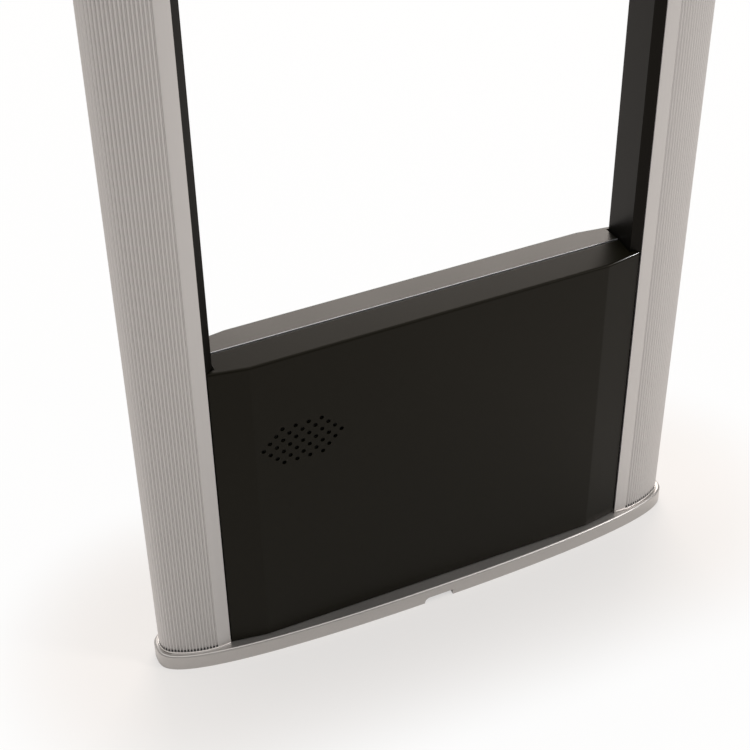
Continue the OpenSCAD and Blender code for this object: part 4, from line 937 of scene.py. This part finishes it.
class GATE_OT_castings(bpy.types.Operator):
    """Builds the base and the cap with their rounded rims"""

    bl_idname = "gate.castings"
    bl_label = "Castings"

    CREASE = 38.0
    NEAR = 0.1 * MM
    ROUND_PART = 6 * MM
    BOW_X, BOW_Y = 2.2, 3
    ON_OUTLINE = 0.985

    def execute(self, context):
        size = sizes()
        for node, is_base in (("base_casting", True), ("top_cap", False)):
            low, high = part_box(node)
            rim = high.z - size.plinth if is_base else high.z
            lip = high.z if is_base else low.z

            def at_height(edge, height):
                first, last = [vert.co.z for vert in edge.verts]
                return abs(first - last) < LEVEL and abs(first - height) < self.NEAR

            def on_rim(edge):
                middle = (edge.verts[0].co + edge.verts[1].co) / 2
                outline = (abs(middle.x) / high.x) ** self.BOW_X + (abs(middle.y) / high.y) ** self.BOW_Y
                return outline > self.ON_OUTLINE and at_height(edge, rim)

            def on_lip(edge):
                return edge.calc_length() < self.ROUND_PART and at_height(edge, lip)

            bm = softened(node, on_rim, size.rim_radius, segments=5)
            round_edges(bm, on_lip, size.plinth_radius, segments=2)
            stand_in(node + "_rounded", bm, node, self.CREASE)
        return {"FINISHED"}


class GATE_OT_covers(bpy.types.Operator):
    """Builds the folded covers of the lower housing and of the lamp head"""

    bl_idname = "gate.covers"
    bl_label = "Covers"

    SOUND_ROWS = 7
    CUT_NEAR = 10 * MM
    CUT_FAR = 30 * MM
    SCREW_ROOM = 0.2 * MM
    LENS_LIP = 3 * MM
    BEND_HOLD = 0.4 * MM
    FOLD_HOLD = 0.25 * MM
    BEND_STEPS = 6
    FOLD_STEPS = 8
    EDGE_STEPS = 4

    def execute(self, context):
        front, rear = bmesh.new(), bmesh.new()
        self.sound_holes(front)
        self.cover("front_cover", 1, 1, front, sizes().seam_gap)
        self.screw_holes(rear, "rear_cover_screws", 1)
        self.cover("rear_cover", -1, 1, rear)
        for sign, node, lens in ((1, "head_front_cover", "front_lens"), (-1, "head_rear_cover", "rear_lens")):
            cutter = bmesh.new()
            self.window(cutter, lens, sign)
            self.screw_holes(cutter, "head_screws", -sign)
            self.cover(node, sign, -1, cutter)
        return {"FINISHED"}

    def sound_holes(self, bm):
        """Rows of round holes in front of the speaker, the longest in the middle."""
        size = sizes()
        middle = sum(corner.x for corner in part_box("speaker_frame")) / 2
        half = self.SOUND_ROWS // 2
        for row in range(-half, half + 1):
            count = self.SOUND_ROWS - abs(row)
            for i in range(count):
                x = middle + (i - (count - 1) / 2) * size.sound_pitch
                at = (x, 0, size.sound_height + row * size.sound_row)
                rod(bm, at, BACK, size.sound_hole / 2, -self.CUT_FAR, -self.CUT_NEAR)

    def screw_holes(self, bm, node, side):
        """Clearance holes for the screws of a node whose heads are on one side."""
        for screw in [Screw(points) for points in solids(node)]:
            if screw.axis == 1 and screw.outward == side:
                at = (screw.seat.x, 0, screw.seat.z)
                rod(bm, at, side * BACK, screw.shank + self.SCREW_ROOM, self.CUT_NEAR, self.CUT_FAR)

    def window(self, bm, lens, sign):
        """The lens window of a lamp head cover."""
        low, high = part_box(lens)
        half = (high.x - low.x) / 2 - self.LENS_LIP
        near, far = sorted((-sign * self.CUT_NEAR, -sign * self.CUT_FAR))
        brick(bm, (-half, near, low.z + self.LENS_LIP), (half, far, high.z - self.LENS_LIP))

    def cover(self, node, front_sign, up_sign, cutter, gap=0.0):
        """A folded sheet cover with slanted ends and a flange that rises to the seam."""
        low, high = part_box(node)
        deep = max(-low.y, high.y)
        seam = -min(abs(low.y), abs(high.y)) - gap
        bottom, ridge = (low.z, high.z) if up_sign > 0 else (-high.z, -low.z)
        plan, notch = self.plan(high.x, -deep)
        rings = []
        for x, y in plan:
            full = self.profile(y, bottom, ridge, -deep, seam)
            short = self.profile(y, bottom, ridge, -deep, -sizes().flange_notch)
            if abs(x) > notch + LEVEL:
                sections = [short]
            elif abs(x) < notch - LEVEL:
                sections = [full]
            else:
                sections = [short, full] if x < 0 else [full, short]
            rings += [[(x, v * front_sign, w * up_sign) for v, w in section] for section in sections]
        bm = bmesh.new()
        loft(bm, rings)
        weld(bm)
        bmesh.ops.dissolve_degenerate(bm, edges=bm.edges, dist=WELD / 2)
        stand_in(node + "_folded", cut(bm, cutter), node)

    def plan(self, half, front):
        """Points of a cover's outer face seen from above, from left to right, and where its notch starts."""
        size = sizes()
        start = half - size.slant
        angle = math.atan2(size.slant_drop, size.slant)
        radius = size.bend_radius
        last = start - radius * math.tan(angle / 2)
        notch = half - size.notch_depth
        right = [(half, front + size.slant_drop)]
        right.append((notch, front + size.slant_drop * (notch - start) / size.slant))
        curve = []
        for k in range(self.BEND_STEPS + 1):
            turn = angle * (1 - k / self.BEND_STEPS)
            curve.append((last + radius * math.sin(turn), front + radius * (1 - math.cos(turn))))
        hold = self.BEND_HOLD
        right.append((curve[0][0] + hold * math.cos(angle), curve[0][1] + hold * math.sin(angle)))
        right += curve + [(curve[-1][0] - hold, front)]
        return [(-x, y) for x, y in right] + right[::-1], notch

    def profile(self, front, low, ridge, reach, seam):
        """Section of a cover: outer points from the free edge to the seam, then inner points back."""
        size = sizes()
        sheet, radius, edge, hold = size.sheet, size.fold_radius, size.seam_radius, self.FOLD_HOLD
        rise = math.atan2(size.ridge_rise, -reach)

        def flange(y):
            return ridge - size.ridge_rise + math.tan(rise) * (y - reach)

        centre_y = front + radius
        centre_z = flange(centre_y) - radius / math.cos(rise)
        outer = [(front, low), (front, centre_z - hold)]
        inner = [(front + sheet, low), (front + sheet, centre_z - hold)]
        for k in range(self.FOLD_STEPS + 1):
            turn = math.pi + (rise - math.pi / 2) * k / self.FOLD_STEPS
            for line, r in ((outer, radius), (inner, radius - sheet)):
                line.append((centre_y + r * math.cos(turn), centre_z + r * math.sin(turn)))
        both = (centre_y + hold, -size.flange_notch - 2 * edge)
        outer += [(y, flange(y)) for y in (*both, seam - edge - hold)]
        inner += [(y, flange(y) - sheet / math.cos(rise)) for y in (*both, seam)]
        edge_z = flange(seam - edge) - edge
        for k in range(self.EDGE_STEPS + 1):
            turn = math.pi / 2 * (1 - k / self.EDGE_STEPS)
            outer.append((seam - edge + edge * math.cos(turn), edge_z + edge * math.sin(turn)))
        return outer + inner[::-1]


class GATE_OT_channels(bpy.types.Operator):
    """Builds the two antenna channels with their rounded edges and sloping fronts"""

    bl_idname = "gate.channels"
    bl_label = "Channels"

    LONG_EDGE = 500
    POST_GAP = 0.05 * MM

    def execute(self, context):
        for side, node, post in ((-1, "left_channel", "left_post"), (1, "right_channel", "right_post")):
            bm = softened(node, straight(self.LONG_EDGE), sizes().channel_edge, 3)
            self.slopes(bm, side, node, post)
            stand_in(node + "_rounded", bm, node)
        return {"FINISHED"}

    def slopes(self, bm, side, node, post):
        """The sloping front and back between the housing and the lamp head, with ends along their flanges."""
        size = sizes()
        inner = min(abs(corner.x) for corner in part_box(node)) + size.channel_edge
        step = min(abs(corner.x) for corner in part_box(post)) - self.POST_GAP
        housing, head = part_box("front_cover"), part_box("head_front_cover")
        fall = size.ridge_rise / -housing[0].y
        face = size.channel_face
        section = [(inner, face), (step, face), (step, face + size.channel_rise)]
        for way in (-1, 1):
            foot = [(side * x, way * y, housing[1].z + size.channel_gap - fall * y) for x, y in section]
            top = [(side * x, way * y, head[0].z - size.channel_gap + fall * y) for x, y in section]
            loft(bm, [foot, top])


class GATE_OT_cables(bpy.types.Operator):
    """Builds the antenna cable and the leads"""

    bl_idname = "gate.cables"
    bl_label = "Cables"

    # Radius, ease of the corners and route of each, in millimetres
    ROUTES = {
        "antenna_loop": (3.2, 16, [
            (0, -3, 201.6), (0, -3, 224.6), (-156, -3, 224.6), (-156, -3, 1462),
            (156, -3, 1462), (156, -3, 224.6), (12, -3, 224.6), (12, -3, 201.6)]),
        "lamp_lead": (1.6, 6, [
            (82, -3, 201.6), (82, -3, 213.6), (94, 8, 224.6), (156, 8, 224.6), (156, 8, 1462),
            (136.2, 8, 1462), (124.2, 0, 1472), (99, 0, 1482.6), (93, 0, 1498.6), (83, 0, 1498.6)]),
        "speaker_lead": (1.6, 3, [(-37, -3, 166.6), (-47, -3, 166.6), (-57, -1.2, 174), (-76.7, -1.2, 174)]),
        "power_lead": (1.6, 6, [(-14, -3, 94), (-14, -3, 104), (0, -3, 106), (0, -3, 114.6)]),
    }

    def execute(self, context):
        for node, (radius, reach, points) in self.ROUTES.items():
            bm = bmesh.new()
            tube(bm, eased(points, reach), radius * MM)
            stand_in(node + "_round", bm, node)
        return {"FINISHED"}


class GATE_OT_screws(bpy.types.Operator):
    """Builds the pan-head screws with their cross recesses"""

    bl_idname = "gate.screws"
    bl_label = "Screws"

    NODES = ("rear_cover_screws", "head_screws", "chassis_screws", "board_screws", "speaker_screws")
    CROWN = ((0.97, 0), (1, 0.10), (1, 0.40), (0.96, 0.60), (0.82, 0.80), (0.55, 0.94), (0.25, 0.99), (0, 1))
    # Parts of the shank's radius at its tip, then of the head's radius and height in the cross
    TIP, CHAMFER = 0.7, 0.5
    CROSS_LONG, CROSS_HALF = 0.56, 0.12
    CROSS_TOP, CROSS_FLOOR, CROSS_TAPER = 1.2, 0.35, 0.6

    def execute(self, context):
        for node in self.NODES:
            turned, recess = bmesh.new(), bmesh.new()
            for screw in [Screw(points) for points in solids(node)]:
                shank, tip = screw.shank, -screw.long
                profile = [(0, tip), (self.TIP * shank, tip), (shank, self.CHAMFER * shank + tip), (shank, 0)]
                lathe(turned, profile + scaled(self.CROWN, screw.head, screw.tall), screw.seat, screw.aim)
                self.recess(recess, screw)
            stand_in(node + "_turned", cut(turned, recess), node)
        return {"FINISHED"}

    def recess(self, bm, screw):
        """The cross in a head, turned in its own way on each screw."""
        angle = 0.3 + 90 * screw.seat.x + 70 * screw.seat.z
        outline = cross(self.CROSS_LONG * screw.head, self.CROSS_HALF * screw.head, angle)
        near, far = self.CROSS_TOP * screw.tall, self.CROSS_FLOOR * screw.tall
        prism(bm, outline, screw.seat, screw.aim, near, far, self.CROSS_TAPER)


class GATE_OT_board_parts(bpy.types.Operator):
    """Builds the small parts on the boards"""

    bl_idname = "gate.board_parts"
    bl_label = "Board parts"

    LEG_PITCH = 1.27 * MM
    LEG_END = 1.4 * MM
    LEG_THICK = 0.14 * MM
    LEG_HALF = 0.21 * MM
    WAIST = ((0, 0), (0.90, 0), (0.90, 0.05), (0.86, 0.09), (0.86, 0.12), (1, 0.17), (1, 0.94), (0.97, 0.985),
             (0.90, 1), (0.82, 1), (0.80, 0.975), (0, 0.975))
    PLATE = ((0, 0.95), (0.79, 0.95), (0.79, 0.985), (0.76, 0.99), (0, 0.99))
    SCORE_HALF = 0.2 * MM
    CORE = 2.3 * MM
    CORE_DEPTH = 1.2 * MM
    TERMINAL = ((0, 1.0), (0.8, 1.0), (1, 1.25), (1, 5.2), (0, 5.2))
    TERMINAL_SCREW = 1.6 * MM
    TERMINAL_PITCH = 6 * MM
    # Resistors: pitch and first place in millimetres, and start, end, half width and height of each block
    COLUMN, ROW = 6, 5
    FIRST_X, FIRST_Z = 4, 3.5
    ROOM = 3 * MM
    BODY = (-0.75, 0.75, 0.62, 0.50)
    ENDS = ((-1.05, -0.75, 0.65, 0.54), (0.75, 1.05, 0.65, 0.54))
    CROWD = ("board_chips", "capacitors", "tuning_coils", "heat_sink", "terminal_blocks", "status_leds",
             "board_screws", "dip_switch_body", "test_button_body", "volume_pot", "volume_knob",
             "trimmer_body")

    def execute(self, context):
        self.chips()
        self.capacitors()
        self.coils()
        self.terminals()
        self.resistors()
        for node, board in (("status_leds", "main_board"), ("lamp_leds", "lamp_board")):
            middle = sum(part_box(board), Vector()) / 2
            bm = bmesh.new()
            for low, high in boxes(node):
                self.light(bm, low, high, middle.y)
            stand_in(node + "_domed", bm, node)
        return {"FINISHED"}

    def chips(self):
        stand_in("chip_bodies", softened("board_chips", straight(1), 0.25 * MM, 2), "board_chips")
        legs = bmesh.new()
        for low, high in boxes("board_chips"):
            level = high.y - 0.45 * (high.y - low.y)
            along = 0 if high.x - low.x >= high.z - low.z else 2
            count = int((high[along] - low[along] - self.LEG_END) / self.LEG_PITCH) + 1
            middle = (low[along] + high[along]) / 2
            for i in range(count):
                at = middle + (i - (count - 1) / 2) * self.LEG_PITCH
                for edge, out in ((low[2 - along], -1), (high[2 - along], 1)):
                    self.leg(legs, along, at, edge, out, level, high.y)
        stand_in("chip_legs", legs, "board_chips", added="screw_steel")

    def leg(self, bm, along, at, edge, out, level, board):
        """A bent leg from the side of a chip down to the board."""
        thick, half = self.LEG_THICK, self.LEG_HALF
        foot = board - thick
        way = [(-0.1, level), (0.35, level), (0.65, board - 0.3 * MM), (0.85, foot), (1.4, foot)]
        rings = []
        for reach, y in way:
            ring = []
            for side, lift in ((-half, 0), (half, 0), (half, thick), (-half, thick)):
                point = [0, y + lift, 0]
                point[along] = at + side
                point[2 - along] = edge + out * reach * MM
                ring.append(point)
            rings.append(ring)
        loft(bm, rings)

    def capacitors(self):
        sleeves, tops, scores = bmesh.new(), bmesh.new(), bmesh.new()
        for low, high in boxes("capacitors"):
            radius, tall = (high.x - low.x) / 2, high.y - low.y
            base = centre(low, high, high.y)
            lathe(sleeves, scaled(self.WAIST, radius, tall), base, FRONT)
            lathe(tops, scaled(self.PLATE, radius, tall), base, FRONT)
            outline = cross(0.62 * radius, self.SCORE_HALF, 0.3 + 50 * base.z)
            prism(scores, outline, base, FRONT, tall + 1 * MM, 0.98 * tall)
        stand_in("capacitor_sleeves", sleeves, "capacitors")
        stand_in("capacitor_tops", cut(tops, scores), "capacitors", added="zinc_sheet")

    def coils(self):
        stand_in("coil_cans", softened("tuning_coils", straight(4), 0.4 * MM, 3), "tuning_coils")
        cores, slots = bmesh.new(), bmesh.new()
        radius, start = self.CORE, self.CORE_DEPTH
        for low, high in boxes("tuning_coils"):
            middle = centre(low, high, low.y)
            end = (high.y - low.y) / 2
            profile = [(0, start), (0.9 * radius, start), (radius, 1.5 * MM), (radius, end), (0, end)]
            lathe(cores, profile, middle, BACK)
            wide, thin = 3 * MM, 0.35 * MM
            brick(slots, middle + Vector((-wide, -1 * MM, -thin)), middle + Vector((wide, 2 * start, thin)))
        stand_in("coil_cores", cut(cores, slots), "tuning_coils", added="magnet_dark")

    def terminals(self):
        stand_in("terminal_bodies", softened("terminal_blocks", straight(4), 0.3 * MM, 2), "terminal_blocks")
        turned, slots = bmesh.new(), bmesh.new()
        wide, thin = 2 * MM, 0.25 * MM
        bar = ((-wide, -thin), (wide, -thin), (wide, thin), (-wide, thin))
        for low, high in boxes("terminal_blocks"):
            ways = 4 if high.x - low.x > 20 * MM else 2
            for i in range(ways):
                at = centre(low, high, low.y)
                at.x += (i - (ways - 1) / 2) * self.TERMINAL_PITCH
                lathe(turned, scaled(self.TERMINAL, self.TERMINAL_SCREW, MM), at, BACK, 20)
                prism(slots, spun(bar, 0.5 + 1.1 * i + 40 * at.x), at, BACK, 0, 1.9 * MM)
        stand_in("terminal_screws", cut(turned, slots), "terminal_blocks", added="screw_steel")

    def resistors(self):
        """Small parts in rows on the free places of the board."""
        low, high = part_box("main_board")
        room = self.ROOM
        crowd = [box for node in self.CROWD for box in boxes(node)]
        bodies, ends = bmesh.new(), bmesh.new()
        for i in range(int((high.x - low.x) / (self.COLUMN * MM))):
            for j in range(int((high.z - low.z) / (self.ROW * MM))):
                at = Vector((low.x + (self.COLUMN * i + self.FIRST_X) * MM, low.y,
                             low.z + (self.ROW * j + self.FIRST_Z) * MM))
                clear = all(at.x < a.x - room or at.x > b.x + room or at.z < a.z - room or at.z > b.z + room
                            for a, b in crowd)
                picked = (7 * i + 13 * j + 5 * i * j) % 11 < 5
                if clear and picked:
                    upright = (i + j) % 3 == 0
                    self.block(bodies, at, upright, *self.BODY)
                    for end in self.ENDS:
                        self.block(ends, at, upright, *end)
        stand_in("resistor_bodies", bodies, "main_board", added="part_black")
        stand_in("resistor_ends", ends, "main_board", added="zinc_sheet")

    @staticmethod
    def block(bm, at, upright, start, end, half, tall):
        """A block on the board, in millimetres from its place, along the board or upright."""
        near, far = (start, -tall, -half), (end, 0, half)
        if upright:
            near, far = near[::-1], far[::-1]
        brick(bm, at + Vector(near) * MM, at + Vector(far) * MM)

    @staticmethod
    def light(bm, low, high, board):
        """A domed light with a collar that stands on its board."""
        radius, tall = (high.x - low.x) / 2, high.y - low.y
        outward = low.y > board
        base = centre(low, high, low.y if outward else high.y)
        slim = 0.9 * radius
        profile = [(0, 0), (radius, 0), (radius, 0.15 * tall), (slim, 0.18 * tall)] + dome(slim, tall - slim)
        lathe(bm, profile, base, BACK if outward else FRONT, 24)


class GATE_OT_controls(bpy.types.Operator):
    """Builds the fluted volume knob with its pointer"""

    bl_idname = "gate.controls"
    bl_label = "Controls"

    FLUTES = 22
    FLUTE_STEPS = 8
    FLUTE_DEPTH = 0.5 * MM
    LINE_HALF = 0.6 * MM
    LINE_START = 2 * MM
    LINE_FLOOR = 1.2 * MM

    def execute(self, context):
        points = [vert.co for vert in frame["nodes"]["volume_knob"].data.vertices]
        low, high = corners(points)
        middle = centre(low, high, low.y)
        radius = (high.x - low.x) / 2

        def reach(point):
            return math.hypot(point.x - middle.x, point.z - middle.z)

        tall = max(point.y for point in points if reach(point) > RIM_SHARE * radius) - low.y
        shaft = max(reach(point) for point in points if point.y > high.y - LEVEL)
        bm = bmesh.new()
        self.skirt(bm, middle, radius, tall)
        back = middle + BACK * tall
        end = high.y - back.y
        lathe(bm, [(0, 0), (shaft, 0), (shaft, end - 0.3 * MM), (0.9 * shaft, end), (0, end)], back, BACK)
        groove, line = bmesh.new(), bmesh.new()
        half, start, under = self.LINE_HALF, self.LINE_START, self.LINE_FLOOR
        past = radius + 1 * MM
        brick(groove, middle + Vector((-half, -1 * MM, start)), middle + Vector((half, under, past)))
        brick(line, middle + Vector((-half, 0.55 * MM, start)), middle + Vector((half, under, 0.92 * radius)))
        bmesh.ops.bevel(line, geom=line.edges[:], offset=0.12 * MM, segments=2, profile=0.5, affect="EDGES")
        stand_in("volume_knob_fluted", cut(bm, groove), "volume_knob")
        stand_in("volume_knob_line", line, "volume_knob", added="nylon_white")
        return {"FINISHED"}

    def skirt(self, bm, middle, radius, tall):
        """The hollow front and the fluted side: parts of the radius, depths and parts of a flute."""
        profile = ((0.55, 0.5 * MM, 0), (0.86, 0.35 * MM, 0), (0.93, 0, 0), (0.97, 0.25 * MM, 0.5),
                   (1, 0.8 * MM, 1), (1, 0.75 * tall, 1), (1, 0.78 * tall, 0), (1, tall, 0))
        steps = self.FLUTES * self.FLUTE_STEPS
        turns = [2 * math.pi * k / steps for k in range(steps)]
        rings = []
        for scale, along, flute in profile:
            ring = []
            for turn in turns:
                dip = flute * self.FLUTE_DEPTH * (0.5 + 0.5 * math.cos(self.FLUTES * turn)) ** 2
                reach = radius * scale - dip
                ring.append(middle + Vector((reach * math.cos(turn), along, reach * math.sin(turn))))
            rings.append(ring)
        loft(bm, rings)


class GATE_OT_speaker(bpy.types.Operator):
    """Builds the speaker's cone with its dust cap and its rolled edge"""

    bl_idname = "gate.speaker"
    bl_label = "Speaker"

    CREASE = 40.0
    CORE = 8.4 * MM
    PAPER = 0.6 * MM
    DROP = 6.2 * MM
    CAP_RISE = 2.4 * MM
    CAP_ROUND = 0.4 * MM
    ROLL_RISE = 0.75 * MM
    ROLL_STEPS = 10

    def execute(self, context):
        low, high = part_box("speaker_cone")
        rim, deep = (high.x - low.x) / 2, high.y - low.y
        core, paper, drop, rise = self.CORE, self.PAPER, self.DROP, self.CAP_RISE

        def slope(r):
            return drop * (rim - r) / (rim - core)

        front = [(core * t, drop - rise * (1 - t * t)) for t in (0, 0.25, 0.5, 0.7, 0.85, 0.95)]
        front += [(core, drop + 0.15 * MM), (core + self.CAP_ROUND, slope(core + self.CAP_ROUND))]
        first, last = 0.78 * rim, 0.95 * rim
        for k in range(self.ROLL_STEPS + 1):
            part = k / self.ROLL_STEPS
            r = first + (last - first) * part
            front.append((r, slope(r) - self.ROLL_RISE * math.sin(math.pi * part)))
        front.append((rim, 0.1 * MM))
        back = [(rim, paper), (last, slope(last) + paper), (first, slope(first) + paper)]
        back += [(core, drop + paper), (core, deep), (0, deep)]
        bm = bmesh.new()
        lathe(bm, front + back, centre(low, high, low.y), BACK, 64)
        stand_in("speaker_cone_rolled", bm, "speaker_cone", self.CREASE)
        return {"FINISHED"}


class GATE_OT_eased_parts(bpy.types.Operator):
    """Eases the sharp edges of the sheet parts and of the mouldings"""

    bl_idname = "gate.eased_parts"
    bl_label = "Eased parts"

    # Radius of the edges in millimetres
    EASE = {
        "base_screws": 0.3, "cap_screws": 0.3, "cable_grommet": 0.4, "chassis_tray": 0.3, "rear_spacers": 0.2,
        "cover_studs": 0.2, "cover_clips": 0.2, "board_standoffs": 0.15, "heat_sink": 0.12,
        "dip_switch_body": 0.15, "dip_lever_1": 0.08, "dip_lever_2": 0.08, "dip_lever_3": 0.08,
        "dip_lever_4": 0.08, "test_button_body": 0.2, "test_plunger": 0.3, "volume_pot": 0.2,
        "trimmer_body": 0.2, "trimmer_rotor": 0.1, "power_supply": 0.5, "switch_bracket": 0.25,
        "rocker_frame": 0.3, "power_rocker": 0.3, "fuse_holder": 0.25, "fuse_cap": 0.3, "speaker_frame": 0.25,
        "speaker_magnet": 0.5, "speaker_spacers": 0.2, "head_bracket": 0.25, "front_lens": 0.6,
        "rear_lens": 0.6, "main_board": 0.1, "lamp_board": 0.1,
    }

    def execute(self, context):
        for node, width in self.EASE.items():
            stand_in(node + "_eased", softened(node, straight(0), width * MM, 2), node)
        return {"FINISHED"}


class GATE_PT_panel(bpy.types.Panel):
    """Sidebar of the gate"""

    bl_idname = "GATE_PT_panel"
    bl_label = "Security gate"
    bl_space_type = "VIEW_3D"
    bl_region_type = "UI"
    bl_category = "Gate"

    def draw(self, context):
        for group in (context.scene.gate_sizes, context.scene.gate_colours, context.scene.gate_light):
            for key in group.__annotations__:
                self.layout.prop(group, key)
        for operator in OPERATORS:
            self.layout.operator(operator.bl_idname)


OPERATORS = (GATE_OT_stage, GATE_OT_posts, GATE_OT_castings, GATE_OT_channels, GATE_OT_covers, GATE_OT_screws,
             GATE_OT_cables, GATE_OT_board_parts, GATE_OT_controls, GATE_OT_speaker, GATE_OT_eased_parts)
CLASSES = (GateSizes, GateColours, GateLight, *OPERATORS, GATE_PT_panel)


def register():
    for item in CLASSES:
        bpy.utils.register_class(item)
    bpy.types.Scene.gate_sizes = PointerProperty(type=GateSizes)
    bpy.types.Scene.gate_colours = PointerProperty(type=GateColours)
    bpy.types.Scene.gate_light = PointerProperty(type=GateLight)


def unregister():
    del bpy.types.Scene.gate_light
    del bpy.types.Scene.gate_colours
    del bpy.types.Scene.gate_sizes
    for item in reversed(CLASSES):
        bpy.utils.unregister_class(item)


def main():
    """Builds the gate's looks."""
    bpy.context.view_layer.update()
    register()
    for operator in OPERATORS:
        getattr(bpy.ops.gate, operator.bl_idname.split(".")[1])()


if __name__ == "__main__":
    main()
